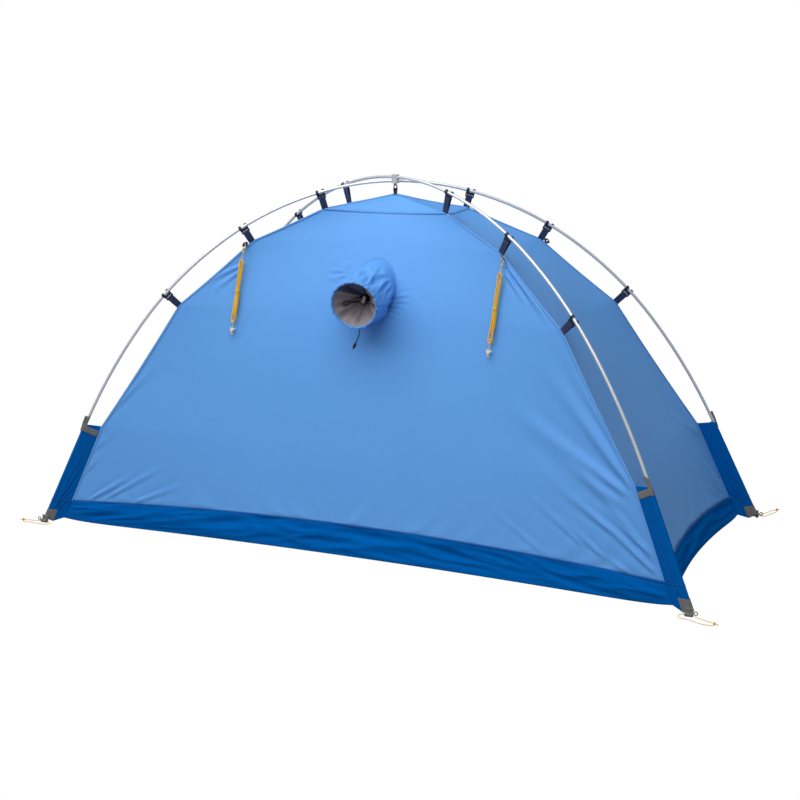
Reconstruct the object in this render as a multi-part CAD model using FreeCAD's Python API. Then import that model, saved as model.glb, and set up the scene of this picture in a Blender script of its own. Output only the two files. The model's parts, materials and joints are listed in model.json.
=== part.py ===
"""A one-person two-pole dome tent, as separate pieces, in millimetres.

The frame: X runs along the tent's long side and Y across it, Z is up, and the ground is z = 0 under the
middle of the floor. The vent wall faces -Y and the door wall faces +Y. Each pole is a bow that stands in
a vertical plane over one diagonal of the floor, so most pieces are made in a leg's own frame, where X runs
out from the middle along the diagonal, and are then turned about Z to their leg.
"""

import FreeCAD
import Part
import math
import os
from FreeCAD import Vector

os.makedirs("parts", exist_ok=True)

# ---------------------------------------------------------------- driving dimensions
TIP_SPAN_X = 2107.0
TIP_SPAN_Y = 897.4
POLE_D = 9.0
POLE_WALL = 0.65
SECTION_LENGTH = 375.0
APEX_A = 1081.0
APEX_B = 1092.4
BEND_RADII_A = (815.0, 980.0, 1210.0, 1850.0)
BEND_RADII_B = (800.0, 960.0, 1260.0, 1840.0)
TIP_LENGTH = 12.0
TIP_D = 6.4
FERRULE_LENGTH = 70.0
SHOCK_CORD_D = 2.6

# The ridge seams of the canopy, in the diagonal plane: distance from the middle, and height.
RIDGE_SEAM = (1053.0, 68.0)
RIDGE_SLEEVE = (943.0, 313.0)
RIDGE_LOW = (677.0, 703.0)
RIDGE_MID = (443.0, 900.0)
RIDGE_HIGH = (216.0, 1000.0)
PEAK_HEIGHT = 1042.0
FLOOR_CORNER = 1083.0

# How far the middle of each wall stands inside the line between its two ridge seams.
LONG_SAG = {"hem": 40.0, "seam": 50.0, "sleeve": 61.0, "low": 71.0, "mid": 67.0, "high": 33.0}
SHORT_SAG = {"hem": 42.0, "seam": 36.0, "sleeve": 37.0, "low": 41.0, "mid": 38.0, "high": 16.0}
LONG_SEAM_RISE = 24.0
SHORT_SEAM_RISE = 16.0
ROOF_SEAM_DROP = 9.0
CLOTH = 2.0
MITRE = 4.5
FLOOR_THICKNESS = 3.0

STRAP_WIDTH = 20.0
STRAP_THICKNESS = 2.0
CLIP_LENGTH = 27.0
CLIP_THICKNESS = 5.0
CLIP_DEPTH = 20.0
CLIP_CLEARANCE = 0.35
CLIP_WALL = 2.7
CLAW_GAP = 10.6
CLIP_LEVELS = {"low": RIDGE_LOW, "mid": RIDGE_MID, "high": RIDGE_HIGH}

# The clear block at the crossing, the eye under it, and the ring that hangs in the eye.
BLOCK_HALF = 10.0
BLOCK_WALL = 2.6
EYE_R = 4.6
EYE_HOLE_R = 2.4
EYE_WIDTH = 3.6
EYE_DROP = 3.2
HOOK_WIRE_R = 1.7
HOOK_BAR_DROP = 15.0
HOOK_HALF_BAR = 11.0
HOOK_HALF_TOP = 4.0
TOP_STRAP_WIDTH = 18.0

SLEEVE_TOP = 311.0
SLEEVE_BOTTOM = 17.0
SLEEVE_CLEARANCE = 0.5
SLEEVE_WALL = 1.5
WEB_THICKNESS = 3.0
SEAM_GAP = 1.6
BAND_HEIGHT = 17.0
TAB_WIDTH = 18.0
TAPE = 1.2

VENT_BASE = Vector(0.0, -165.0, 790.0)
VENT_RIM = Vector(14.0, -331.0, 751.0)
VENT_RADIUS = 70.0
VENT_DEPTH_INSIDE = 34.0
VENT_WALL = 1.6
LINING_WALL = 1.0

DOOR_HALF_WIDTH = 360.0
DOOR_BOTTOM = 150.0
DOOR_SHOULDER = 580.0
DOOR_TOP = 800.0
DOOR_GAP = 3.0
DOOR_CORNER_R = 60.0
ZIP_WIDTH = 9.0
SLIDER_HEIGHTS = {"upper": 462.0, "lower": 424.0}
SLIDER_WIDTH = 9.0
SLIDER_LENGTH = 12.0
SLIDER_LIFT = 2.0
SLIDER_DEPTH = 3.0
PIN_R = 1.0
PIN_LIFT = 7.6
PULL_LENGTH = 24.0

LOOP_R = 5.5
LOOP_LENGTH = 22.0
LOOP_HOLE_R = 2.0
LOOP_HEIGHT = 6.3
LOOP_BACK_X = 8.0
LOOP_OUT_Y = 12.0
PEG_CORD_D = 2.2
TAIL_CORD_D = 2.8
LOCK_R = 4.8
LOCK_LENGTH = 12.0
LOCK_HOLE_R = 2.1
BUTTON_R = 2.6
BUTTON_TRAVEL = 1.6

TAB_PLACE = (457.0, 885.0)
TAB_OUT = 24.0
TAB_LEAN = math.radians(55.0)
HANK_R = 5.4
KNOT_R = 8.0
RUNNER_DROP = 15.0

ORIGIN = Vector(0.0, 0.0, 0.0)
UP = Vector(0.0, 0.0, 1.0)
HALF_DIAGONAL = math.hypot(TIP_SPAN_X, TIP_SPAN_Y) / 2
DIAGONAL_X = TIP_SPAN_X / 2 / HALF_DIAGONAL
DIAGONAL_Y = TIP_SPAN_Y / 2 / HALF_DIAGONAL
POLE_R = POLE_D / 2
EYE_HEIGHT = APEX_A - POLE_R - BLOCK_WALL - EYE_DROP
VENT_AXIS = (VENT_RIM - VENT_BASE).normalize()
VENT_INNER = VENT_BASE - VENT_AXIS * VENT_DEPTH_INSIDE
ZIP_X = -(DOOR_HALF_WIDTH - DOOR_GAP - ZIP_WIDTH / 2)

LEGS = {
    "front_left": (-1, -1, "a"),
    "back_right": (1, 1, "a"),
    "front_right": (1, -1, "b"),
    "back_left": (-1, 1, "b"),
}


# ---------------------------------------------------------------- general helpers
def export(name, solids):
    """Writes one node from a solid or a list of separate solids, and prints its volume."""
    if isinstance(solids, (list, tuple)):
        shape = solids[0] if len(solids) == 1 else Part.makeCompound(list(solids))
    else:
        shape = solids
    count = len(shape.Solids)
    print(f"{name:24s} {count:3d} solids {shape.Volume / 1000:10.2f} cm3 valid {shape.isValid()}")
    shape.exportStep(f"parts/{name}.step")


def leg_angle(leg):
    """The leg's direction from the middle of the floor, in degrees about Z."""
    side_x, side_y, _ = LEGS[leg]
    return math.degrees(math.atan2(side_y * DIAGONAL_Y, side_x * DIAGONAL_X))


def to_leg(shape, leg):
    """A shape made in the diagonal plane's own frame, turned to its leg."""
    turned = shape.copy()
    turned.rotate(ORIGIN, UP, leg_angle(leg))
    return turned


def leg_point(leg, out, height, beside=0.0):
    """A point in a leg's frame, as a point of the tent."""
    side_x, side_y, _ = LEGS[leg]
    along = Vector(side_x * DIAGONAL_X, side_y * DIAGONAL_Y, 0.0)
    across = UP.cross(along)
    return along * out + across * beside + UP * height


def rod(start, end, radius):
    """A solid cylinder between two points."""
    run = end - start
    return Part.makeCylinder(radius, run.Length, start, run)


def pipe(start, end, outer, inner):
    """A hollow cylinder between two points."""
    run = end - start
    reach = run.normalize() * 1.0
    return rod(start, end, outer).cut(rod(start - reach, end + reach, inner))


def box_between(low, high):
    """A box from its lowest to its highest corner."""
    size = high - low
    return Part.makeBox(size.x, size.y, size.z, low)


def rounded(shape, radius, test=lambda edge: True):
    """The shape with the edges that pass a test rounded."""
    edges = [edge for edge in shape.Edges if test(edge)]
    return shape.makeFillet(radius, edges)


def upright(edge):
    """Whether an edge runs along Z."""
    if edge.Curve.TypeId != "Part::GeomLine":
        return False
    return abs(edge.tangentAt(edge.FirstParameter).z) > 0.99


def frame_matrix(place, x_axis, y_axis, z_axis):
    """The placement that takes a local frame to a place with these three directions."""
    return FreeCAD.Matrix(
        x_axis.x, y_axis.x, z_axis.x, place.x,
        x_axis.y, y_axis.y, z_axis.y, place.y,
        x_axis.z, y_axis.z, z_axis.z, place.z,
        0.0, 0.0, 0.0, 1.0,
    )


def placed(shape, matrix):
    """A shape moved by a rigid matrix."""
    return shape.transformed(matrix, True)


def cord_tube(route, radius, label):
    """A cord's tube: straight runs joined by tangent arcs, each as large as its two runs allow."""
    runs = [(b - a).Length for a, b in zip(route, route[1:])]
    edges = []
    radii = []
    length = 0.0
    last = route[0]
    for i in range(1, len(route) - 1):
        back = (route[i - 1] - route[i]).normalize()
        ahead = (route[i + 1] - route[i]).normalize()
        turn = math.pi - back.getAngle(ahead)
        reach = 0.45 * min(runs[i - 1], runs[i])
        bend = reach / math.tan(turn / 2)
        start = route[i] + back * reach
        end = route[i] + ahead * reach
        inward = (back + ahead).normalize()
        middle = route[i] + inward * (bend / math.cos(turn / 2) - bend)
        edges.append(Part.LineSegment(last, start).toShape())
        edges.append(Part.Arc(start, middle, end).toShape())
        length += (start - last).Length + bend * turn
        radii.append(bend)
        last = end
    edges.append(Part.LineSegment(last, route[-1]).toShape())
    length += (route[-1] - last).Length
    spine = Part.Wire(edges)
    circle = Part.Wire(Part.makeCircle(radius, route[0], route[1] - route[0]))
    tube = spine.makePipeShell([circle], True, True)
    share = tube.Volume / (math.pi * radius**2 * length)
    print(f"{label}: length {length:.1f}, volume over section times length {share:.4f}")
    print("  radii", " ".join(f"{bend:.1f}" for bend in radii))
    return tube


# ---------------------------------------------------------------- the two bow poles
class Pole:
    """One bow pole's centre line, from its top to its foot, as arcs and a straight foot section."""

    def __init__(self, apex, radii):
        self.arcs = []
        out, height, lean = 0.0, apex, 0.0
        for number, radius in enumerate(radii):
            sweep = (SECTION_LENGTH / 2 if number == 0 else SECTION_LENGTH) / radius
            centre = (out - radius * math.sin(lean), height - radius * math.cos(lean))
            self.arcs.append((centre, radius, lean, lean + sweep))
            lean += sweep
            out = centre[0] + radius * math.sin(lean)
            height = centre[1] + radius * math.cos(lean)
        self.lean = lean
        self.straight_start = (out, height)
        run = (height - TIP_D / 2 * math.cos(lean)) / math.sin(lean)
        self.straight_length = run
        self.foot = self.on_straight(run)

    def on_straight(self, distance):
        """A point on the foot section, that far below its upper end."""
        out, height = self.straight_start
        return out + distance * math.cos(self.lean), height - distance * math.sin(self.lean)

    def straight_at_height(self, height):
        """The foot section's point at a height."""
        return self.on_straight((self.straight_start[1] - height) / math.sin(self.lean))

    def nearest(self, out, height):
        """The nearest point of the bow to a point inside it, and how far the bow leans there."""
        for centre, radius, first, last in self.arcs:
            lean = math.atan2(out - centre[0], height - centre[1])
            if first <= lean <= last:
                place = (centre[0] + radius * math.sin(lean), centre[1] + radius * math.cos(lean))
                return place, lean
        raise ValueError("the point is not inside the bow")


POLES = {"a": Pole(APEX_A, BEND_RADII_A), "b": Pole(APEX_B, BEND_RADII_B)}


def bow_piece(centre, radius, first, last, outer, inner):
    """A bent tube, or a bent rod where inner is 0, over part of an arc of the bow."""
    start = Vector(centre[0] + radius * math.sin(first), 0.0, centre[1] + radius * math.cos(first))
    along = Vector(math.cos(first), 0.0, -math.sin(first))
    disc = Part.Face(Part.Wire(Part.makeCircle(outer, start, along)))
    if inner:
        disc = disc.cut(Part.Face(Part.Wire(Part.makeCircle(inner, start, along))))
    pivot = Vector(centre[0], 0.0, centre[1])
    return disc.revolve(pivot, Vector(0.0, 1.0, 0.0), math.degrees(last - first)).Solids[0]


def pole_legs(pole_name):
    """The two legs of a pole."""
    return [leg for leg, (_, _, pole) in LEGS.items() if pole == pole_name]


def pole_sections(pole_name):
    """The nine tube sections of a pole."""
    pole = POLES[pole_name]
    inner = POLE_R - POLE_WALL
    centre, radius, _, half = pole.arcs[0]
    sections = [to_leg(bow_piece(centre, radius, -half, half, POLE_R, inner), pole_legs(pole_name)[0])]
    start = Vector(pole.straight_start[0], 0.0, pole.straight_start[1])
    end_out, end_height = pole.on_straight(pole.straight_length - TIP_LENGTH)
    for leg in pole_legs(pole_name):
        for arc in pole.arcs[1:]:
            sections.append(to_leg(bow_piece(*arc, POLE_R, inner), leg))
        foot = pipe(start, Vector(end_out, 0.0, end_height), POLE_R, inner)
        sections.append(to_leg(foot, leg))
    return sections


def pole_ferrules(pole_name):
    """The eight ferrules of a pole, each half in the upper and half in the lower section."""
    pole = POLES[pole_name]
    outer = POLE_R - POLE_WALL - 0.05
    inner = outer - 0.7
    pieces = []
    for number, (centre, radius, _, last) in enumerate(pole.arcs):
        half = FERRULE_LENGTH / 2
        upper = bow_piece(centre, radius, last - half / radius, last, outer, inner)
        if number + 1 < len(pole.arcs):
            next_centre, next_radius, first, _ = pole.arcs[number + 1]
            lower = bow_piece(next_centre, next_radius, first, first + half / next_radius, outer, inner)
        else:
            start = Vector(pole.straight_start[0], 0.0, pole.straight_start[1])
            end_out, end_height = pole.on_straight(half)
            lower = pipe(start, Vector(end_out, 0.0, end_height), outer, inner)
        ferrule = upper.fuse(lower).Solids[0]
        pieces += [to_leg(ferrule, leg) for leg in pole_legs(pole_name)]
    return pieces


def shock_cord(pole_name):
    """The elastic cord through a pole, made fast to the tip in each foot."""
    pole = POLES[pole_name]
    radius = SHOCK_CORD_D / 2
    centre, bend, _, half = pole.arcs[0]
    runs = [to_leg(bow_piece(centre, bend, -half, half, radius, 0.0), pole_legs(pole_name)[0])]
    start = Vector(pole.straight_start[0], 0.0, pole.straight_start[1])
    end_out, end_height = pole.on_straight(pole.straight_length - TIP_LENGTH - 20.5)
    for leg in pole_legs(pole_name):
        runs += [to_leg(bow_piece(*arc, radius, 0.0), leg) for arc in pole.arcs[1:]]
        runs.append(to_leg(rod(start, Vector(end_out, 0.0, end_height), radius), leg))
    return runs[0].multiFuse(runs[1:]).Solids[0]


def pole_tip(leg):
    """A foot: a plug inside the tube, a shoulder as wide as the tube, and a rounded point."""
    pole = POLES[LEGS[leg][2]]
    plug = POLE_R - POLE_WALL - 0.05
    shoulder = 3.0
    point = TIP_D / 2
    length = pole.straight_length
    profile = [
        Vector(0.0, 0.0, length - TIP_LENGTH - 20.0),
        Vector(plug, 0.0, length - TIP_LENGTH - 20.0),
        Vector(plug, 0.0, length - TIP_LENGTH),
        Vector(POLE_R, 0.0, length - TIP_LENGTH),
        Vector(POLE_R, 0.0, length - TIP_LENGTH + shoulder),
        Vector(point, 0.0, length - TIP_LENGTH + shoulder + 1.5),
        Vector(point, 0.0, length - 1.0),
        Vector(point - 1.0, 0.0, length),
        Vector(0.0, 0.0, length),
    ]
    outline = Part.makePolygon(profile + profile[:1])
    tip = Part.Face(outline).revolve(ORIGIN, UP, 360.0).Solids[0]
    start = Vector(pole.straight_start[0], 0.0, pole.straight_start[1])
    down = Vector(math.cos(pole.lean), 0.0, -math.sin(pole.lean))
    side = Vector(0.0, 1.0, 0.0)
    matrix = frame_matrix(start, side.cross(down), side, down)
    return to_leg(placed(tip, matrix), leg)


# ---------------------------------------------------------------- clips, straps and the crossing
def clip_frame(leg, level):
    """A clip's own frame, Z out of the canopy and X down along the pole, and its strap's length."""
    out, height = CLIP_LEVELS[level]
    pole = POLES[LEGS[leg][2]]
    (pole_out, pole_height), lean = pole.nearest(out, height)
    place = leg_point(leg, pole_out, pole_height)
    along = (leg_point(leg, math.cos(lean), -math.sin(lean))).normalize()
    outward = (leg_point(leg, math.sin(lean), math.cos(lean))).normalize()
    beside = outward.cross(along)
    gap = math.hypot(pole_out - out, pole_height - height)
    return frame_matrix(place, along, beside, outward), gap


def clip_shape():
    """A twist-off clip: a plate with a strap slot, and two claws that close over the pole."""
    half = CLIP_LENGTH / 2
    inner = POLE_R + CLIP_CLEARANCE
    outer = inner + CLIP_WALL
    plate = box_between(
        Vector(-half, -CLIP_THICKNESS / 2, -CLIP_DEPTH), Vector(half, CLIP_THICKNESS / 2, -inner)
    )
    plate = rounded(plate, 1.5)
    claws = []
    for side in (1, -1):
        near, far = CLAW_GAP / 2, half
        start = near if side > 0 else -far
        ring = Part.makeCylinder(outer, far - near, Vector(start, 0.0, 0.0), Vector(1.0, 0.0, 0.0))
        low_side = 0.0 if side > 0 else -outer
        end = start + far - near
        keep = box_between(Vector(start, low_side, -outer), Vector(end, low_side + outer, outer))
        claws.append(ring.common(keep))
    body = plate.multiFuse(claws)
    bore_start = Vector(-half - 1.0, 0.0, 0.0)
    body = body.cut(Part.makeCylinder(inner, 2 * half + 2, bore_start, Vector(1.0, 0.0, 0.0)))
    slot_half = STRAP_WIDTH / 2 + 0.6
    slot = box_between(Vector(-slot_half, -half, -16.4), Vector(slot_half, half, -12.6))
    return body.cut(slot).removeSplitter().Solids[0]


def strap_shape(gap):
    """A strap's plain solid, between the canopy's seam and the clip's lower bar."""
    return box_between(
        Vector(-STRAP_WIDTH / 2, -STRAP_THICKNESS / 2, -gap + 1.0),
        Vector(STRAP_WIDTH / 2, STRAP_THICKNESS / 2, -CLIP_DEPTH - 0.3),
    )


def crossing_connector():
    """The clear block with one bore for each pole, and an eye under it for the top hook."""
    low, high = APEX_A - POLE_R - BLOCK_WALL, APEX_B + POLE_R + BLOCK_WALL
    block = box_between(Vector(-BLOCK_HALF, -BLOCK_HALF, low), Vector(BLOCK_HALF, BLOCK_HALF, high))
    block = rounded(block, 5.0, upright)
    half_width = EYE_WIDTH / 2
    across = Vector(0.0, 1.0, 0.0)
    eye = Part.makeCylinder(EYE_R, EYE_WIDTH, Vector(0.0, -half_width, EYE_HEIGHT), across)
    neck = box_between(Vector(-EYE_R, -half_width, EYE_HEIGHT), Vector(EYE_R, half_width, low + 1.0))
    hole = Part.makeCylinder(EYE_HOLE_R, 20.0, Vector(0.0, -10.0, EYE_HEIGHT), across)
    body = block.multiFuse([eye, neck]).cut(hole)
    for leg, apex in (("back_right", APEX_A), ("front_right", APEX_B)):
        along = leg_point(leg, 1.0, 0.0)
        start = UP * apex - along * 30.0
        body = body.cut(Part.makeCylinder(POLE_R + 0.15, 60.0, start, along))
    return body.removeSplitter().Solids[0]


def top_hook():
    """The ring under the connector: a wire loop through the eye, with a wide lower bar for the strap."""
    top = EYE_HEIGHT
    low = top - HOOK_BAR_DROP
    corners = [
        Vector(0.0, -HOOK_HALF_TOP, top),
        Vector(0.0, HOOK_HALF_TOP, top),
        Vector(0.0, HOOK_HALF_BAR, top - 5.0),
        Vector(0.0, HOOK_HALF_BAR, low),
        Vector(0.0, -HOOK_HALF_BAR, low),
        Vector(0.0, -HOOK_HALF_BAR, top - 5.0),
    ]
    bars = []
    for number, start in enumerate(corners):
        end = corners[(number + 1) % len(corners)]
        bars.append(rod(start, end, HOOK_WIRE_R))
        bars.append(Part.makeSphere(HOOK_WIRE_R, start))
    return bars[0].multiFuse(bars[1:]).removeSplitter().Solids[0]


def top_strap():
    """The strap between the peak of the roof and the top hook's bar."""
    low, high = PEAK_HEIGHT + 0.8, EYE_HEIGHT - HOOK_BAR_DROP - HOOK_WIRE_R - 0.3
    half, half_width = STRAP_THICKNESS / 2, TOP_STRAP_WIDTH / 2
    return box_between(Vector(-half, -half_width, low), Vector(half, half_width, high))


# ---------------------------------------------------------------- canopy and floor
def ridge_pair(point, inward=0.0):
    """Half extents in X and Y of a ridge point, moved in along the diagonal by the mitre."""
    out = point[0] - inward
    return out * DIAGONAL_X, out * DIAGONAL_Y, point[1]


def wall_section(side, point, sag, middle_rise, out_shift=0.0, thickness=CLOTH):
    """A thin closed wire across one wall, in one plane: an outer and an inner bowed line, mitred."""
    along_x = side in ("front", "rear")
    sign = -1.0 if side in ("front", "left") else 1.0
    share = DIAGONAL_Y if along_x else DIAGONAL_X
    slope = middle_rise / sag
    lines = []
    for depth in (-out_shift, thickness - out_shift):
        mitre = MITRE * depth / CLOTH
        half_x, half_y, height = ridge_pair(point, mitre)
        end_height = height + slope * mitre * share
        inward = sag + depth
        bow = sign * (point[0] * share - inward)
        if along_x:
            side_y = sign * half_y
            ends = [Vector(-half_x, side_y, end_height), Vector(half_x, side_y, end_height)]
            middle = Vector(0.0, bow, height + slope * inward)
        else:
            side_x = sign * half_x
            ends = [Vector(side_x, -half_y, end_height), Vector(side_x, half_y, end_height)]
            middle = Vector(bow, 0.0, height + slope * inward)
        lines.append((ends[0], middle, ends[1]))
    outer, inner = lines
    return Part.Wire(
        [
            Part.Arc(*outer).toShape(),
            Part.LineSegment(outer[2], inner[2]).toShape(),
            Part.Arc(inner[2], inner[1], inner[0]).toShape(),
            Part.LineSegment(inner[0], outer[0]).toShape(),
        ]
    )


def side_sags(side):
    """The sag table, seam rise and sign of a side."""
    if side in ("front", "rear"):
        return LONG_SAG, LONG_SEAM_RISE
    return SHORT_SAG, SHORT_SEAM_RISE


def wall(side, out_shift=0.0, thickness=CLOTH):
    """A canopy wall, from the floor band's seam to the roof seam."""
    sags, rise = side_sags(side)
    sections = [
        wall_section(side, RIDGE_SEAM, sags["seam"], rise, out_shift, thickness),
        wall_section(side, RIDGE_SLEEVE, sags["sleeve"], 0.0, out_shift, thickness),
        wall_section(side, RIDGE_LOW, sags["low"], 0.0, out_shift, thickness),
        wall_section(side, RIDGE_MID, sags["mid"], 0.0, out_shift, thickness),
        wall_section(side, RIDGE_HIGH, sags["high"], -ROOF_SEAM_DROP, out_shift, thickness),
    ]
    return Part.makeLoft(sections, True, True).Solids[0]


def floor_band(side):
    """The darker band between the floor sheet and a wall."""
    sags, rise = side_sags(side)
    foot = (FLOOR_CORNER, FLOOR_THICKNESS)
    sections = [
        wall_section(side, foot, sags["hem"], 0.0),
        wall_section(side, RIDGE_SEAM, sags["seam"], rise),
    ]
    return Part.makeLoft(sections, True, True).Solids[0]


def roof_panel():
    """The small roof: four slopes from the roof seam to the peak, as one shell."""
    top = (24.0, PEAK_HEIGHT - 1.2)
    slopes = []
    for side in ("front", "rear", "left", "right"):
        sags, _ = side_sags(side)
        sections = [
            wall_section(side, RIDGE_HIGH, sags["high"], -ROOF_SEAM_DROP),
            wall_section(side, top, 0.4, 0.0),
        ]
        slopes.append(Part.makeLoft(sections, True, True).Solids[0])
    inner_x, inner_y, _ = ridge_pair(top)
    cap_wire = Part.makePolygon(
        [
            Vector(-inner_x, -inner_y, top[1]),
            Vector(inner_x, -inner_y, top[1]),
            Vector(inner_x, inner_y, top[1]),
            Vector(-inner_x, inner_y, top[1]),
            Vector(-inner_x, -inner_y, top[1]),
        ]
    )
    cap = Part.Face(cap_wire).extrude(UP * 1.2)
    return slopes[0].multiFuse(slopes[1:] + [cap])


def floor_sheet():
    """The groundsheet: four hem lines that curve in between the corners."""
    half_x, half_y, _ = ridge_pair((FLOOR_CORNER, 0.0))
    corners = [
        Vector(-half_x, -half_y, 0.0),
        Vector(half_x, -half_y, 0.0),
        Vector(half_x, half_y, 0.0),
        Vector(-half_x, half_y, 0.0),
    ]
    middles = [
        Vector(0.0, -half_y + LONG_SAG["hem"], 0.0),
        Vector(half_x - SHORT_SAG["hem"], 0.0, 0.0),
        Vector(0.0, half_y - LONG_SAG["hem"], 0.0),
        Vector(-half_x + SHORT_SAG["hem"], 0.0, 0.0),
    ]
    edges = []
    for number, middle in enumerate(middles):
        edges.append(Part.Arc(corners[number], middle, corners[(number + 1) % 4]).toShape())
    return Part.Face(Part.Wire(edges)).extrude(UP * FLOOR_THICKNESS)


# ---------------------------------------------------------------- vent tunnel
def vent_sleeve():
    """The tunnel's outer cloth, which passes through the wall and ends just inside it."""
    return pipe(VENT_INNER, VENT_RIM, VENT_RADIUS, VENT_RADIUS - VENT_WALL)


def vent_lining():
    """The grey lining inside the tunnel, face to face with the outer cloth."""
    outer = VENT_RADIUS - VENT_WALL
    return pipe(VENT_INNER, VENT_RIM - VENT_AXIS * 2.0, outer, outer - LINING_WALL)


def vent_mesh():
    """The insect mesh across the tunnel's inner end."""
    radius = VENT_RADIUS - VENT_WALL - LINING_WALL - 0.2
    return rod(VENT_INNER + VENT_AXIS * 2.0, VENT_INNER + VENT_AXIS * 3.5, radius)


# ---------------------------------------------------------------- door
def door_outline(offset):
    """The door's outline seen along Y, moved in by offset: straight foot and sides, and a rounded top."""
    half = DOOR_HALF_WIDTH - offset
    low = DOOR_BOTTOM + offset
    high = DOOR_TOP - offset
    shoulder = DOOR_SHOULDER
    bend = DOOR_CORNER_R - offset
    diagonal = bend * (1 - math.sqrt(0.5))
    face = Part.Wire(
        [
            Part.LineSegment(
                Vector(-half + bend, 0, low),
                Vector(half - bend, 0, low),
            ).toShape(),
            Part.Arc(
                Vector(half - bend, 0, low),
                Vector(half - diagonal, 0, low + diagonal),
                Vector(half, 0, low + bend),
            ).toShape(),
            Part.LineSegment(Vector(half, 0, low + bend), Vector(half, 0, shoulder)).toShape(),
            Part.Arc(
                Vector(half, 0, shoulder),
                Vector(0, 0, high),
                Vector(-half, 0, shoulder),
            ).toShape(),
            Part.LineSegment(Vector(-half, 0, shoulder), Vector(-half, 0, low + bend)).toShape(),
            Part.Arc(
                Vector(-half, 0, low + bend),
                Vector(-half + diagonal, 0, low + diagonal),
                Vector(-half + bend, 0, low),
            ).toShape(),
        ]
    )
    return Part.Face(face)


def door_prism(offset):
    """The door's outline swept along Y, through the rear wall only."""
    return door_outline(offset).extrude(Vector(0.0, 600.0, 0.0))


# ---------------------------------------------------------------- corners
def pole_axis_at(leg, height):
    """The foot section's centre at a height, in the leg's own frame."""
    out, level = POLES[LEGS[leg][2]].straight_at_height(height)
    return Vector(out, 0.0, level)


def long_side(leg):
    """Which side of the leg's own frame faces the nearer long wall: 1 for pole A, -1 for pole B."""
    return 1.0 if LEGS[leg][2] == "a" else -1.0


def plate(points, thickness, centre):
    """A flat plate from its corners in the leg's plane, its middle that far beside the plane."""
    outline = [Vector(out, centre - thickness / 2, height) for out, height in points]
    face = Part.Face(Part.makePolygon(outline + outline[:1]))
    return face.extrude(Vector(0.0, thickness, 0.0))


def ridge_out_at(height):
    """How far out the ridge seam runs at a height below the sleeve's top."""
    points = ((FLOOR_CORNER, FLOOR_THICKNESS), RIDGE_SEAM, RIDGE_SLEEVE)
    for (out_low, low), (out_high, high) in zip(points, points[1:]):
        if height <= high:
            return out_low + (out_high - out_low) * (height - low) / (high - low)
    raise ValueError("the height is above the sleeve")


def corner_sleeve(leg):
    """The pocket for a pole's foot: a flat web from the ridge seam, and a channel along the pole."""
    bore = POLE_R + SLEEVE_CLEARANCE
    outer = bore + SLEEVE_WALL
    top, low = pole_axis_at(leg, SLEEVE_TOP), pole_axis_at(leg, SLEEVE_BOTTOM)
    channel = rod(low, top, outer)
    heights = (SLEEVE_TOP, RIDGE_SEAM[1], SLEEVE_BOTTOM)
    inner_line = [(ridge_out_at(height) + SEAM_GAP, height) for height in heights]
    web = plate([(top.x, top.z), *inner_line, (low.x, low.z)], WEB_THICKNESS, 0.0)
    along = (top - low).normalize()
    body = channel.fuse(web).cut(rod(low - along * 30.0, top + along * 30.0, bore))
    return to_leg(body.removeSplitter().Solids[0], leg)


def sleeve_webbing(leg):
    """The grey band on the sleeve's open top, and the tab that stands up behind the pole."""
    side = -long_side(leg)
    outer = POLE_R + SLEEVE_CLEARANCE + SLEEVE_WALL
    low_height = SLEEVE_TOP - BAND_HEIGHT
    top, low = pole_axis_at(leg, SLEEVE_TOP), pole_axis_at(leg, low_height)
    band = plate(
        [
            (ridge_out_at(SLEEVE_TOP) + 4.0, SLEEVE_TOP),
            (top.x - outer - 2.0, SLEEVE_TOP),
            (low.x - outer - 2.0, low_height),
            (ridge_out_at(low_height) + 4.0, low_height),
        ],
        TAPE,
        -side * (WEB_THICKNESS / 2 + 0.3 + TAPE / 2),
    )
    foot, head = pole_axis_at(leg, SLEEVE_TOP - 25.0), pole_axis_at(leg, SLEEVE_TOP + 30.0)
    across = Vector((head - foot).z, 0.0, -(head - foot).x).normalize() * (TAB_WIDTH / 2)
    corners = [foot - across, foot + across, head + across, head - across]
    tab = plate([(c.x, c.z) for c in corners], TAPE, side * (outer + 0.3 + TAPE / 2))
    return [to_leg(band, leg), to_leg(tab, leg)]


def corner_patch(leg):
    """The grey patch folded round the outside of the sleeve's foot."""
    inner = POLE_R + SLEEVE_CLEARANCE + SLEEVE_WALL + 0.3
    low, high = pole_axis_at(leg, SLEEVE_BOTTOM + 1.0), pole_axis_at(leg, SLEEVE_BOTTOM + 38.0)
    shell = pipe(low, high, inner + TAPE, inner)
    run = high - low
    inward = Vector(-run.z, 0.0, run.x).normalize()
    along = run.normalize()
    start = low - along * 20.0
    half_space = Part.makeBox(60.0, 80.0, 100.0, Vector(0.0, -40.0, 0.0))
    matrix = frame_matrix(start + inward * 2.0, inward, along.cross(inward), along)
    return to_leg(shell.cut(placed(half_space, matrix)).Solids[0], leg)


def corner_place(leg):
    """The middle of the webbing loop beside a pole's foot."""
    side_x, side_y, _ = LEGS[leg]
    out_x = TIP_SPAN_X / 2 - LOOP_BACK_X
    out_y = TIP_SPAN_Y / 2 + LOOP_OUT_Y
    return Vector(side_x * out_x, side_y * out_y, LOOP_HEIGHT)


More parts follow.
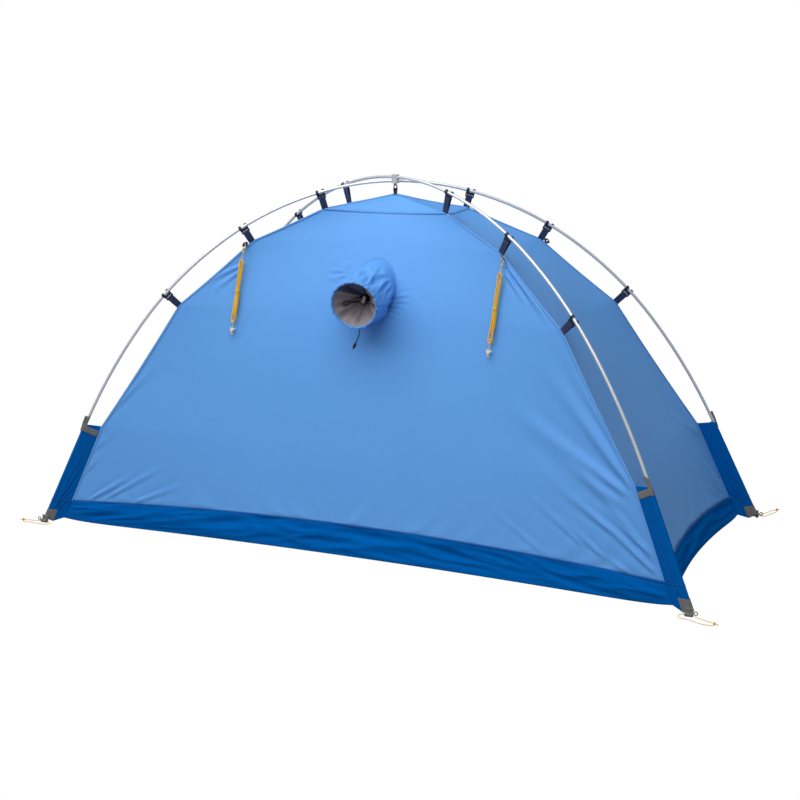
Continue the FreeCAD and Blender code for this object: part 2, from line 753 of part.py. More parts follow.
def corner_loop(leg):
    """The grey webbing rolled into a loop beside the foot, with the strap that sews it to the patch."""
    _, side_y, _ = LEGS[leg]
    middle = corner_place(leg)
    start = middle - Vector(LOOP_LENGTH / 2, 0.0, 0.0)
    roll = Part.makeCylinder(LOOP_R, LOOP_LENGTH, start, Vector(1.0, 0.0, 0.0))
    near, far = sorted((middle.y, middle.y - side_y * 6.6))
    ends = (start.x + 1.0, start.x + LOOP_LENGTH - 1.0)
    shoulder = box_between(Vector(ends[0], near, 8.2), Vector(ends[1], far, 11.4))
    near, far = sorted((middle.y - side_y * 4.8, middle.y - side_y * 6.6))
    strap = box_between(Vector(ends[0], near, 8.2), Vector(ends[1], far, 24.0))
    hole_start = start - Vector(2.0, 0.0, 0.0)
    hole = Part.makeCylinder(LOOP_HOLE_R, LOOP_LENGTH + 4, hole_start, Vector(1.0, 0.0, 0.0))
    return roll.multiFuse([shoulder, strap]).cut(hole).removeSplitter().Solids[0]


def corner_elastic(leg):
    """The small black elastic eye beside the loop, which takes a fly sheet's hook."""
    side_x, _, _ = LEGS[leg]
    middle = corner_place(leg) + Vector(side_x * (LOOP_LENGTH / 2 + 7.5), 0.0, 5.6)
    eye = Part.makeTorus(4.8, 1.2, middle, Vector(0.0, 1.0, 0.0))
    neck_start = corner_place(leg) + Vector(side_x * (LOOP_LENGTH / 2 + 0.2), 0.0, 2.9)
    neck_end = middle + Vector(-side_x * 3.6, 0.0, -2.9)
    return eye.fuse(rod(neck_start, neck_end, 1.2)).removeSplitter().Solids[0]


# Each peg loop is one cord through the webbing loop: it leaves both ends of it and ends in a knot.
PEG_ROUTES = {
    "front_right": [
        Vector(1057.2, -460.7, 6.0),
        Vector(1063.5, -463.0, 3.6),
        Vector(1072.0, -464.5, 1.8),
        Vector(1083.0, -467.5, 1.3),
        Vector(1095.0, -474.0, 1.4),
        Vector(1106.0, -477.5, 1.3),
        Vector(1115.0, -482.0, 1.5),
        Vector(1121.5, -488.5, 1.6),
        Vector(1120.0, -497.0, 1.5),
        Vector(1111.5, -501.5, 1.3),
        Vector(1098.0, -501.5, 1.4),
        Vector(1082.0, -498.5, 1.3),
        Vector(1067.0, -492.5, 1.4),
        Vector(1053.5, -486.0, 1.3),
        Vector(1042.0, -481.5, 1.4),
        Vector(1030.4, -481.5, 1.5),
        Vector(1021.4, -477.4, 2.2),
        Vector(1019.1, -468.4, 3.8),
        Vector(1024.6, -461.1, 5.4),
        Vector(1033.8, -460.7, 6.0),
    ],
    "front_left": [
        Vector(-1057.2, -460.7, 6.0),
        Vector(-1063.5, -459.9, 3.6),
        Vector(-1071.5, -457.2, 1.8),
        Vector(-1082.0, -457.5, 1.3),
        Vector(-1094.0, -460.5, 1.4),
        Vector(-1105.0, -459.5, 1.3),
        Vector(-1114.5, -461.0, 1.5),
        Vector(-1121.0, -467.0, 1.6),
        Vector(-1120.5, -475.5, 1.5),
        Vector(-1112.5, -480.0, 1.3),
        Vector(-1101.0, -479.5, 1.4),
        Vector(-1086.0, -476.5, 1.3),
        Vector(-1070.0, -479.5, 1.4),
        Vector(-1055.0, -478.0, 1.3),
        Vector(-1042.0, -480.0, 1.4),
        Vector(-1030.2, -479.7, 1.6),
        Vector(-1021.9, -476.1, 2.4),
        Vector(-1019.7, -467.6, 3.8),
        Vector(-1025.1, -461.1, 5.4),
        Vector(-1033.8, -460.7, 6.0),
    ],
    "back_right": [
        Vector(1057.2, 460.7, 6.0),
        Vector(1063.5, 462.5, 3.8),
        Vector(1070.5, 468.0, 2.0),
        Vector(1077.0, 477.5, 1.3),
        Vector(1083.0, 489.5, 1.4),
        Vector(1087.0, 503.0, 1.3),
        Vector(1093.0, 516.5, 1.4),
        Vector(1098.5, 528.0, 1.3),
        Vector(1101.0, 538.5, 1.5),
        Vector(1096.5, 546.5, 1.6),
        Vector(1087.5, 547.0, 1.5),
        Vector(1081.5, 540.0, 1.3),
        Vector(1079.0, 528.0, 1.4),
        Vector(1074.0, 514.0, 1.3),
        Vector(1066.5, 500.5, 1.4),
        Vector(1056.5, 490.0, 1.3),
        Vector(1045.0, 484.0, 1.4),
        Vector(1033.7, 482.6, 1.7),
        Vector(1022.6, 478.9, 2.6),
        Vector(1019.3, 470.0, 4.0),
        Vector(1024.3, 461.9, 5.4),
        Vector(1033.8, 460.7, 6.0),
    ],
}


def peg_loop(leg):
    """The thin cord that a peg holds, knotted at its far end."""
    route = PEG_ROUTES[leg]
    return cord_tube(route, PEG_CORD_D / 2, f"peg loop {leg}")


# ---------------------------------------------------------------- vent drawcord and its lock
TAIL_ROUTE = [
    Vector(25.2, -317.2, 680.0),
    Vector(24.6, -319.6, 668.0),
    Vector(21.6, -320.4, 655.5),
    Vector(15.6, -320.6, 643.0),
    Vector(5.4, -320.6, 623.4),
]
TAIL_ALONG = (TAIL_ROUTE[-1] - TAIL_ROUTE[-2]).normalize()


def vent_drawcord():
    """The cord in the rim's hem, as a ring just outside the cloth's edge."""
    return Part.makeTorus(VENT_RADIUS - 1.4, 1.3, VENT_RIM + VENT_AXIS * 1.6, VENT_AXIS)


def vent_cord_tail():
    """The drawcord's free end, with its knot."""
    tube = cord_tube(TAIL_ROUTE, TAIL_CORD_D / 2, "vent cord tail")
    knot = Part.makeSphere(2.7, TAIL_ROUTE[-1] + TAIL_ALONG * 1.5)
    return tube.fuse(knot).removeSplitter().Solids[0]


def lock_middle():
    """The lock's place on the cord's straight end, just above the knot."""
    return TAIL_ROUTE[-1] - TAIL_ALONG * (LOCK_LENGTH / 2 + 2.2)


def vent_cord_lock():
    """The toggle: a short round body with the cord through it and a socket for its side button."""
    middle = lock_middle()
    start = middle - TAIL_ALONG * (LOCK_LENGTH / 2)
    body = Part.makeCylinder(LOCK_R, LOCK_LENGTH, start, TAIL_ALONG)
    body = rounded(body, 1.4)
    hole = rod(start - TAIL_ALONG * 2.0, start + TAIL_ALONG * (LOCK_LENGTH + 2.0), LOCK_HOLE_R)
    socket = Part.makeCylinder(BUTTON_R + 0.15, 10.0, middle, Vector(0.0, -1.0, 0.0))
    return body.cut(hole).cut(socket).removeSplitter().Solids[0]


def vent_lock_button():
    """The sprung button in the toggle's side."""
    start = lock_middle() + Vector(0.0, -2.0 - BUTTON_TRAVEL - 0.2, 0.0)
    button = Part.makeCylinder(BUTTON_R, 3.6, start, Vector(0.0, -1.0, 0.0))
    return rounded(button, 0.6)


def mesh_tie():
    """The black cord loop that gathers the mesh, and its small lock."""
    middle = VENT_INNER + VENT_AXIS * 12.0
    loop = Part.makeTorus(9.0, 1.5, middle, VENT_AXIS)
    lock = Part.makeCylinder(4.5, 14.0, middle + Vector(-6.0, -8.0, -2.0), Vector(0.3, -0.5, -0.8))
    return [loop, rounded(lock, 1.2)]


# ---------------------------------------------------------------- guy tabs, guy lines and runners
def guy_tab(leg):
    """A folded webbing tab at the ridge seam, leaning to the long wall, with a hole for the line."""
    lean = math.atan2(RIDGE_MID[1] - RIDGE_LOW[1], RIDGE_LOW[0] - RIDGE_MID[0])
    out, height = TAB_PLACE
    place = leg_point(leg, out, height)
    along = leg_point(leg, math.cos(lean), -math.sin(lean)).normalize()
    outward = leg_point(leg, math.sin(lean), math.cos(lean)).normalize()
    side = leg_point(leg, 0.0, 0.0, long_side(leg)).normalize()
    reach = (outward * math.cos(TAB_LEAN) + side * math.sin(TAB_LEAN)).normalize()
    face = along.cross(reach)
    body = box_between(Vector(-9.0, 2.2, -1.2), Vector(9.0, TAB_OUT, 1.2))
    body = rounded(body, 3.0, upright)
    hole = Part.makeCylinder(3.4, 10.0, Vector(0.0, TAB_OUT - 7.0, -5.0), UP)
    return placed(body.cut(hole), frame_matrix(place, along, reach, face))


# The made-up guy lines lie on the front wall, from just under their tabs down to the runner's strand.
HANKS = {
    "left": (Vector(-428.5, -203.0, 846.0), Vector(-439.0, -252.5, 657.0)),
    "right": (Vector(415.0, -199.0, 846.0), Vector(401.5, -249.5, 648.0)),
}
HANK_PROFILE = (
    (-0.11, 1.6, 1.4),
    (-0.03, 2.2, 2.0),
    (0.02, 4.6, 4.0),
    (0.25, HANK_R, 4.6),
    (0.44, 4.6, 4.2),
    (0.47, KNOT_R, 6.6),
    (0.54, KNOT_R, 6.6),
    (0.57, 4.6, 4.2),
    (0.80, HANK_R + 0.6, 4.6),
    (0.97, 5.6, 4.2),
    (1.0, 3.0, 2.6),
)


def hank_axes(side):
    """The hank's top, its direction down, and its width and depth directions."""
    top, end = HANKS[side]
    down = (end - top).normalize()
    width = Vector(1.0, 0.0, 0.0)
    width = (width - down * width.dot(down)).normalize()
    return top, end, down, width, down.cross(width)


def guy_line(side):
    """The outer shape of a made-up guy line: two lobes, a knot between them, and a strand below."""
    top, end, down, width, depth = hank_axes(side)
    length = (end - top).Length
    rings = []
    for share, half_width, half_depth in HANK_PROFILE:
        middle = top + down * (share * length)
        ellipse = Part.Ellipse(middle + width * half_width, middle + depth * half_depth, middle)
        rings.append(Part.Wire(ellipse.toShape()))
    body = Part.makeLoft(rings, True, False).Solids[0]
    strand_end = end + down * (RUNNER_DROP + 20.0)
    return body.fuse(rod(end - down * 2.0, strand_end, PEG_CORD_D / 2)).Solids[0]


def guy_runner(side):
    """The line runner: a three-cornered plate threaded on the hanging strand."""
    _, end, down, width, depth = hank_axes(side)
    corners = [Vector(-10.0, 0.0, 0.0), Vector(10.0, -1.0, 0.0), Vector(-4.0, -15.0, 0.0)]
    plate_face = Part.Face(Part.makePolygon(corners + corners[:1]))
    body = rounded(plate_face.extrude(UP * 5.0), 2.0, upright)
    body.translate(Vector(2.0, 0.0, -2.5))
    bore_r = PEG_CORD_D / 2 + 0.4
    bore = Part.makeCylinder(bore_r, 40.0, Vector(0.0, 10.0, 0.0), Vector(0.0, -1.0, 0.0))
    matrix = frame_matrix(end + down * RUNNER_DROP, width, -down, width.cross(-down))
    return placed(body.cut(bore), matrix)


# ---------------------------------------------------------------- door zip sliders
def rear_wall_y(along, height):
    """The rear wall's outer surface at a place along the tent and a height between two of its levels."""
    levels = ((RIDGE_SLEEVE, LONG_SAG["sleeve"]), (RIDGE_LOW, LONG_SAG["low"]))
    found = []
    for point, sag in levels:
        half_x, half_y, _ = ridge_pair(point)
        radius = (half_x**2 + sag**2) / (2 * sag)
        found.append(half_y - sag + radius - math.sqrt(radius**2 - along**2))
    share = (height - RIDGE_SLEEVE[1]) / (RIDGE_LOW[1] - RIDGE_SLEEVE[1])
    return found[0] + (found[1] - found[0]) * share


def slider_frame(height):
    """A slider's frame: X across the zip, Y up along it, and Z out of the wall."""
    place = Vector(ZIP_X, rear_wall_y(ZIP_X, height), height)
    above = Vector(ZIP_X, rear_wall_y(ZIP_X, height + 100.0), height + 100.0)
    aside = Vector(ZIP_X + 20.0, rear_wall_y(ZIP_X + 20.0, height), height)
    along = (above - place).normalize()
    across = (aside - place).normalize() * -1
    outward = across.cross(along).normalize()
    return frame_matrix(place, along.cross(outward), along, outward)


def zip_slider(height):
    """A slider's body, with the lug that its pull turns in."""
    half_width, half_length = SLIDER_WIDTH / 2, SLIDER_LENGTH / 2
    body = box_between(
        Vector(-half_width, -half_length, SLIDER_LIFT),
        Vector(half_width, half_length, SLIDER_LIFT + SLIDER_DEPTH),
    )
    body = rounded(body, 1.2, upright)
    lug = box_between(Vector(-1.4, -2.6, SLIDER_LIFT + 1.0), Vector(1.4, 2.6, PIN_LIFT + 2.4))
    hole = Part.makeCylinder(PIN_R + 0.2, 12.0, Vector(-6.0, 0.0, PIN_LIFT), Vector(1.0, 0.0, 0.0))
    return placed(body.fuse(lug).cut(hole).removeSplitter().Solids[0], slider_frame(height))


def zip_pull(height):
    """A slider's pull: a pin through the lug, two ears, and a tongue that hangs down."""
    pin = Part.makeCylinder(PIN_R, 6.4, Vector(-3.2, 0.0, PIN_LIFT), Vector(1.0, 0.0, 0.0))
    under, over = PIN_LIFT - 1.0, PIN_LIFT + 1.0
    ears = [
        box_between(Vector(low, -6.0, under), Vector(low + 1.4, 1.2, over)) for low in (-3.2, 1.8)
    ]
    tongue = box_between(Vector(-3.2, -PULL_LENGTH, under), Vector(3.2, -5.0, over))
    body = pin.multiFuse(ears + [tongue]).removeSplitter().Solids[0]
    return placed(body, slider_frame(height))


# ---------------------------------------------------------------- every node
def export_poles():
    """The bow poles, the crossing and the clips."""
    export("pole_a_tubes", pole_sections("a"))
    export("pole_b_tubes", pole_sections("b"))
    export("pole_ferrules", pole_ferrules("a") + pole_ferrules("b"))
    export("pole_tips", [pole_tip(leg) for leg in LEGS])
    export("shock_cords", [shock_cord("a"), shock_cord("b")])
    export("crossing_connector", crossing_connector())
    export("top_hook", top_hook())
    clip = clip_shape()
    straps = [top_strap()]
    for leg in LEGS:
        for level in CLIP_LEVELS:
            matrix, gap = clip_frame(leg, level)
            export(f"clip_{leg}_{level}", placed(clip, matrix))
            straps.append(placed(strap_shape(gap), matrix))
    export("hook_straps", straps)


def export_canopy():
    """The walls, the roof, the floor, the door and the vent tunnel."""
    rear = wall("rear")
    tunnel = rod(VENT_INNER - VENT_AXIS * 20.0, VENT_RIM, VENT_RADIUS)
    export("wall_front", wall("front").cut(tunnel))
    export("wall_rear", rear.cut(door_prism(0.0)))
    export("wall_left", wall("left"))
    export("wall_right", wall("right"))
    export("roof_panel", roof_panel())
    for side in ("front", "rear", "left", "right"):
        export(f"floor_band_{side}", floor_band(side))
    export("floor_sheet", floor_sheet())
    export("door_panel", rear.common(door_prism(DOOR_GAP)))
    ring = door_prism(DOOR_GAP).cut(door_prism(DOOR_GAP + ZIP_WIDTH))
    export("door_zip", wall("rear", 1.6, 1.4).common(ring))
    for name, height in SLIDER_HEIGHTS.items():
        export(f"zip_slider_{name}", zip_slider(height))
        export(f"zip_pull_{name}", zip_pull(height))
    export("vent_sleeve", vent_sleeve())
    export("vent_lining", vent_lining())
    export("vent_mesh", vent_mesh())
    export("mesh_tie", mesh_tie())
    export("vent_drawcord", vent_drawcord())
    export("vent_cord_tail", vent_cord_tail())
    export("vent_cord_lock", vent_cord_lock())
    export("vent_lock_button", vent_lock_button())


def export_corners():
    """The corner sleeves and what is sewn to them, the guy tabs and the guy lines."""
    for leg in LEGS:
        export(f"corner_sleeve_{leg}", corner_sleeve(leg))
    export("sleeve_webbings", [piece for leg in LEGS for piece in sleeve_webbing(leg)])
    export("corner_patches", [corner_patch(leg) for leg in LEGS])
    export("corner_loops", [corner_loop(leg) for leg in LEGS])
    export("corner_elastics", [corner_elastic(leg) for leg in LEGS])
    for leg in PEG_ROUTES:
        export(f"peg_loop_{leg}", peg_loop(leg))
    export("guy_tabs", [guy_tab(leg) for leg in LEGS])
    for side in HANKS:
        export(f"guy_line_{side}", guy_line(side))
        export(f"guy_runner_{side}", guy_runner(side))


def print_joint_frames():
    """The places and directions that the joints turn or slide about, in metres."""
    for leg in LEGS:
        for level in CLIP_LEVELS:
            matrix, _ = clip_frame(leg, level)
            place = [round(v / 1000, 6) for v in matrix.col(3)]
            axis = [round(v, 6) for v in matrix.col(2)]
            print("joint clip", leg, level, *place, *axis)
    print("joint top_hook", 0.0, 0.0, EYE_HEIGHT / 1000)
    print("joint door", DOOR_HALF_WIDTH / 1000, rear_wall_y(DOOR_HALF_WIDTH, RIDGE_SLEEVE[1]) / 1000)
    print("joint door top", rear_wall_y(DOOR_HALF_WIDTH, DOOR_SHOULDER) / 1000)
    for name, height in SLIDER_HEIGHTS.items():
        matrix = slider_frame(height)
        pin = matrix.multVec(Vector(0.0, 0.0, PIN_LIFT)) * 0.001
        print("joint slider", name, matrix.col(1), "pull", pin, "axis", matrix.col(0))
    print("joint lock", TAIL_ALONG * -1)
    for side in HANKS:
        _, end, down, width, _ = hank_axes(side)
        print("joint hank", side, "down", down, "width", width)


def main():
    export_poles()
    export_canopy()
    export_corners()
    print_joint_frames()


if __name__ == "__main__":
    main()
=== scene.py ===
# %% [markdown]
# # A one-person dome tent
# A small mountaineering tent: two bow poles cross over a light blue canopy, and twelve clips on navy straps
# hold the canopy up to them. The poles' feet stand in deep blue sleeves at the corners. The frame that is
# loaded here holds the poles, clips, sliders and everything that moves. This script dresses it in cloth,
# cords and finishes, and leaves every frame part where it is.

# %% Load the frame
import json
import math
import random

import bmesh
import bpy
from mathutils import Matrix, Vector, noise


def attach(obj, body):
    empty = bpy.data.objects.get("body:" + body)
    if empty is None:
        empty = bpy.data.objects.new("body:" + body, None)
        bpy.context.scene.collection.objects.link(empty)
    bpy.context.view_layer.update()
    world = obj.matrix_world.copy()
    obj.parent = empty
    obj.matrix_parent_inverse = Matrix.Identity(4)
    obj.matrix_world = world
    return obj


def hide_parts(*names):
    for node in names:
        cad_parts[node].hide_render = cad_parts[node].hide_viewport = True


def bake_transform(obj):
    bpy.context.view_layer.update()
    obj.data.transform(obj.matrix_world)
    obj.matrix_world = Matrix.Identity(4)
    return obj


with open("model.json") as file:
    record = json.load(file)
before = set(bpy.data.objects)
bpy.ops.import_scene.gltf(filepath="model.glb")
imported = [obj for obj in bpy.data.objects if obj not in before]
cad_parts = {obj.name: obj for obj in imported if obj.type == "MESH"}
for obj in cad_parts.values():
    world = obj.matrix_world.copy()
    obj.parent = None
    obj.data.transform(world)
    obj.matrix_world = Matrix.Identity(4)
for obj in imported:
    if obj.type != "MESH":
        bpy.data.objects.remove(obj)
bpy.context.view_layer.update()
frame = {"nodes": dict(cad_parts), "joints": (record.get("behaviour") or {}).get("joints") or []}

# %% [markdown]
# ## Camera
# A camera is a place, a direction and a lens. The direction is easiest to think of as an azimuth round the
# tent and an elevation above the horizon, which together give the line from the tent back to the camera.
# The rest of the camera's axes follow from cross products, and a small roll levels the picture.

# %% Camera
CAMERA_PLACE = Vector((1.8278, -4.0350, 1.4521))
CAMERA_AZIMUTH = math.radians(24.28)
CAMERA_ELEVATION = math.radians(13.42)
CAMERA_ROLL = math.radians(-0.62)
CAMERA_LENS = 65.02


def camera_matrix():
    """The camera's axes as columns: right, up, and back towards the camera."""
    level = math.cos(CAMERA_ELEVATION)
    back = Vector(
        (math.sin(CAMERA_AZIMUTH) * level, -math.cos(CAMERA_AZIMUTH) * level, math.sin(CAMERA_ELEVATION))
    )
    right = Vector((math.cos(CAMERA_AZIMUTH), math.sin(CAMERA_AZIMUTH), 0.0))
    right = Matrix.Rotation(CAMERA_ROLL, 3, back) @ right
    up = back.cross(right)
    turn = Matrix((right, up, back)).transposed()
    return Matrix.Translation(CAMERA_PLACE) @ turn.to_4x4()


camera_data = bpy.data.cameras.new("camera")
camera_data.sensor_width = 36.0
camera_data.lens = CAMERA_LENS
camera = bpy.data.objects.new("camera", camera_data)
camera.matrix_world = camera_matrix()
bpy.context.scene.collection.objects.link(camera)
bpy.context.scene.camera = camera
print("camera at", tuple(round(c, 2) for c in CAMERA_PLACE))

# %% [markdown]
# ## Shader sums
# A finish that changes over a surface is a sum of patterns. Wiring that sum by hand hides it, so a small
# class wraps one shader socket and lets Python's own operators add the Math nodes. Any other node comes from
# one method, `node`, which sets the node up, feeds its sockets, and gives back one of its outputs.


# %% The socket class
class Pattern:
    """One output of a shader node, which Python can do sums with."""

    def __init__(self, tree, socket):
        self.tree = tree
        self.socket = socket

    def node(self, kind, settings, inputs, output=0):
        """Adds a node, makes its settings, feeds its sockets by number or name, and gives one output."""
        made = self.tree.nodes.new(kind)
        for name, value in settings.items():
            setattr(made, name, value)
        for key, value in inputs.items():
            if isinstance(value, Pattern):
                self.tree.links.new(value.socket, made.inputs[key])
            else:
                made.inputs[key].default_value = value
        return Pattern(self.tree, made.outputs[output])

    def math(self, operation, first, second=0.0):
        return self.node("ShaderNodeMath", {"operation": operation}, {0: first, 1: second})

    def __add__(self, other):
        return self.math("ADD", self, other)

    def __radd__(self, other):
        return self.math("ADD", other, self)

    def __sub__(self, other):
        return self.math("SUBTRACT", self, other)

    def __rsub__(self, other):
        return self.math("SUBTRACT", other, self)

    def __mul__(self, other):
        return self.math("MULTIPLY", self, other)

    def __rmul__(self, other):
        return self.math("MULTIPLY", other, self)

    def sine(self):
        return self.math("SINE", self)

    def size(self):
        return self.math("ABSOLUTE", self)

    def above(self, limit):
        return self.math("GREATER_THAN", self, limit)

    def below(self, limit):
        return self.math("LESS_THAN", self, limit)

    def split(self, axis):
        """The X, Y or Z number of a vector, by 0, 1 or 2."""
        return self.node("ShaderNodeSeparateXYZ", {}, {0: self}, axis)

    def noise(self, scale, detail=2.0, stretch=(1.0, 1.0, 1.0)):
        """Smooth noise from 0 to 1 over a position, stretched along an axis by a small number."""
        place = self.node("ShaderNodeMapping", {}, {"Vector": self, "Scale": stretch})
        return self.node("ShaderNodeTexNoise", {}, {"Vector": place, "Scale": scale, "Detail": detail})

    def between(self, dark, light):
        """A colour from dark to light as this goes from 0 to 1. Either may be a pattern of colour itself."""
        settings = {"data_type": "RGBA", "clamp_factor": True}
        return self.node("ShaderNodeMix", settings, {0: self, 6: dark, 7: light}, 2)


def new_finish(name):
    """A new material with its Principled shader, and its position and UV patterns."""
    material = bpy.data.materials.new(name)
    material.use_nodes = True
    tree = material.node_tree
    shader = tree.nodes["Principled BSDF"]
    coordinates = tree.nodes.new("ShaderNodeTexCoord")
    place = Pattern(tree, coordinates.outputs["Object"])
    cloth_place = Pattern(tree, coordinates.outputs["UV"])
    return material, shader, place, cloth_place


def connect(shader, **sockets):
    """Feeds the shader's sockets: patterns are linked, and plain numbers and colours are set."""
    for name, value in sockets.items():
        socket = shader.inputs[name.replace("_", " ")]
        if isinstance(value, Pattern):
            value.tree.links.new(value.socket, socket)
        else:
            socket.default_value = value


def bumped(height, distance, strength=1.0):
    """A Normal from a height pattern, whose full height is that many metres."""
    settings = {"Height": height, "Distance": distance, "Strength": strength}
    return height.node("ShaderNodeBump", {}, settings)


def colour(red, green, blue):
    return (red, green, blue, 1.0)


# %% [markdown]
# ## Cloth finishes
# Tent cloth is a thin plain weave of nylon with a coating on its back, so it has a faint gloss and a fine
# grain. Three things make it read as cloth: a weave that is under a millimetre, large faint changes of tone
# where the yarns took the dye, and small creases that a folded tent keeps after it is pitched. The weave
# follows the piece's own UV map, which every cloth piece here has in metres. The gloss is low, because a
# white sky mirrored in deep blue cloth turns it grey.


# %% Cloth finishes
def cloth_finish(name, dark, light, roughness, sheen, weave=0.0009, creases=0.0006, gloss=0.3):
    """A woven cloth: two tones of one dye, a fine weave, packing creases and a little gloss."""
    material, shader, place, cloth = new_finish(name)
    across = (cloth.split(0) * (2 * math.pi / weave)).sine()
    along = (cloth.split(1) * (2 * math.pi / weave)).sine()
    tone = place.noise(2.2, 3.0) * 0.7 + place.noise(38.0, 3.0) * 0.3
    crease = place.noise(26.0, 4.0, (1.0, 1.0, 0.35))
    crease = 1.0 - (crease - 0.5).size() * 2.0
    height = across * along * 0.02 + crease * (creases / 0.001) + place.noise(90.0, 2.0) * 0.12
    connect(
        shader,
        Base_Color=tone.between(colour(*dark), colour(*light)),
        Roughness=place.noise(55.0, 2.0) * 0.12 + (roughness - 0.06),
        Normal=bumped(height, 0.001, 0.55),
        Sheen_Weight=sheen,
        Sheen_Roughness=0.45,
        Specular_IOR_Level=gloss,
    )
    return material


CANOPY = cloth_finish("canopy_cloth", (0.108, 0.325, 0.750), (0.134, 0.375, 0.815), 0.42, 0.0, gloss=0.12)
FLOOR = cloth_finish(
    "floor_cloth", (0.0003, 0.092, 0.375), (0.0008, 0.124, 0.455), 0.38, 0.0, creases=0.0010, gloss=0.0,
)
MESH = cloth_finish("insect_mesh", (0.010, 0.012, 0.020), (0.020, 0.024, 0.036), 0.80, 0.1, weave=0.0016)
print("cloth finishes:", CANOPY.name, FLOOR.name, MESH.name)

# %% [markdown]
# ## Webbing
# Straps are narrow webbing, woven so tightly that the yarns stand up as ribs. The ribs cross at a slant, like
# small chevrons, and the edge is a little thicker. Ribs of about a millimetre show at arm's length, so they
# are a height pattern on the strap's own UV map, and the same pattern darkens the gaps between the yarns,
# which is painted shade.


# %% Webbing finish
RIB = 0.0014


def webbing_finish(name, dark, light):
    """Ribbed webbing: chevron yarns from two slanted waves, with painted shade in the gaps between them."""
    material, shader, place, cloth = new_finish(name)
    across, along = cloth.split(0), cloth.split(1)
    slant = (across * (2 * math.pi / 0.006)).sine().size() * 0.0016
    ribs_and_gap_shade = ((along + slant) * (2 * math.pi / RIB)).sine() * 0.5 + 0.5
    wear = place.noise(140.0, 3.0)
    # The colour follows the ribs: the gaps between yarns are painted darker as shade, and the wear noise is
    # real tone.
    connect(
        shader,
        Base_Color=(ribs_and_gap_shade * 0.45 + wear * 0.5).between(colour(*dark), colour(*light)),
        Roughness=wear * 0.15 + 0.68,
        Normal=bumped(ribs_and_gap_shade + wear * 0.4, 0.0003, 0.7),
        Sheen_Weight=0.15,
    )
    return material


NAVY = webbing_finish("navy_webbing", (0.0015, 0.010, 0.055), (0.004, 0.026, 0.115))
GREY = webbing_finish("grey_webbing", (0.120, 0.118, 0.118), (0.215, 0.210, 0.205))
print("webbing finishes:", NAVY.name, GREY.name)

# %% [markdown]
# ## Cord finishes
# A braided cord is a sleeve of yarns that spiral both ways. Two waves that run against each other give the
# braid's small diamonds, and they also darken the colour in the grooves between the yarns, which is painted
# shade. The waves read the position on the cord, so they keep one size on every cord.


# %% Cord finish
YARN = 0.0016


def cord_finish(name, dark, light):
    """A plaited cord: diamonds from crossed waves, which also darken its grooves as painted shade, and fuzz
    from fine noise.
    """
    material, shader, place, _ = new_finish(name)
    rise = place.split(2) + place.split(1) * 0.6
    first = ((place.split(0) + rise) * (2 * math.pi / YARN)).sine()
    second = ((place.split(0) - rise) * (2 * math.pi / YARN)).sine()
    braid_and_groove_shade = first * second * 0.5 + 0.5
    fuzz = place.noise(420.0, 2.0)
    # The colour follows the diamonds: the grooves between yarns are painted darker as shade, and the fuzz
    # noise is real tone.
    connect(
        shader,
        Base_Color=(braid_and_groove_shade * 0.5 + fuzz * 0.5).between(colour(*dark), colour(*light)),
        Roughness=fuzz * 0.1 + 0.65,
        Normal=bumped(braid_and_groove_shade + fuzz * 0.3, 0.0002, 0.6),
        Specular_IOR_Level=0.2,
    )
    return material


YELLOW = cord_finish("yellow_cord", (0.900, 0.440, 0.010), (0.990, 0.660, 0.060))
PALE_YELLOW = cord_finish("pale_yellow_cord", (0.860, 0.520, 0.080), (0.980, 0.710, 0.200))
BLACK_CORD = cord_finish("black_cord", (0.002, 0.003, 0.008), (0.008, 0.010, 0.020))
print("cord finishes:", YELLOW.name, PALE_YELLOW.name, BLACK_CORD.name)

# %% [markdown]
# ## Hard finishes
# The poles are drawn aluminium tube with a pale satin anodising, and faint lines run round them from the
# polishing. The clips and toggles are moulded plastic: a fine spark texture from the mould, and slightly
# shinier where hands rub it. The connector at the crossing is clear plastic, cloudy at its ends.


# %% Hard finishes
def metal_finish(name, dark, light, roughness):
    """Satin metal with fine polishing lines and faint handling marks."""
    material, shader, place, _ = new_finish(name)
    marks = place.noise(16.0, 4.0)
    polish = place.noise(900.0, 2.0, (1.0, 1.0, 0.2))
    connect(
        shader,
        Base_Color=(marks * 0.6 + polish * 0.4).between(colour(*dark), colour(*light)),
        Metallic=0.55,
        Roughness=marks * 0.12 + polish * 0.08 + (roughness - 0.1),
        Normal=bumped(polish, 0.00006, 0.5),
    )
    return material


def plastic_finish(name, dark, light, roughness, coat=0.0):
    """Moulded plastic: a fine spark texture, and patches that handling has polished."""
    material, shader, place, _ = new_finish(name)
    spark = place.noise(1500.0, 1.0)
    rubbed = place.noise(70.0, 3.0)
    connect(
        shader,
        Base_Color=(rubbed * 0.7 + spark * 0.3).between(colour(*dark), colour(*light)),
        Roughness=roughness + 0.06 - rubbed * 0.16,
        Normal=bumped(spark + rubbed * 0.4, 0.00008, 0.5),
        Coat_Weight=coat,
    )
    return material


POLE = metal_finish("pole_anodised", (0.720, 0.725, 0.735), (0.860, 0.865, 0.870), 0.36)
FERRULE = metal_finish("ferrule_bright", (0.560, 0.565, 0.575), (0.720, 0.725, 0.730), 0.30)
CLIP = plastic_finish("clip_plastic", (0.0025, 0.004, 0.022), (0.006, 0.011, 0.045), 0.38)
BLACK = plastic_finish("black_plastic", (0.010, 0.010, 0.011), (0.024, 0.024, 0.026), 0.42)
IVORY = plastic_finish("ivory_plastic", (0.640, 0.620, 0.440), (0.760, 0.745, 0.580), 0.34, 0.2)
ENAMEL = plastic_finish("slider_enamel", (0.012, 0.013, 0.016), (0.030, 0.031, 0.036), 0.28, 0.4)
CLEAR = plastic_finish("clear_plastic", (0.620, 0.640, 0.655), (0.780, 0.795, 0.805), 0.22, 0.5)
CLEAR.node_tree.nodes["Principled BSDF"].inputs["Transmission Weight"].default_value = 0.35
print("hard finishes:", [made.name for made in (POLE, FERRULE, CLIP, BLACK, IVORY, ENAMEL, CLEAR)])

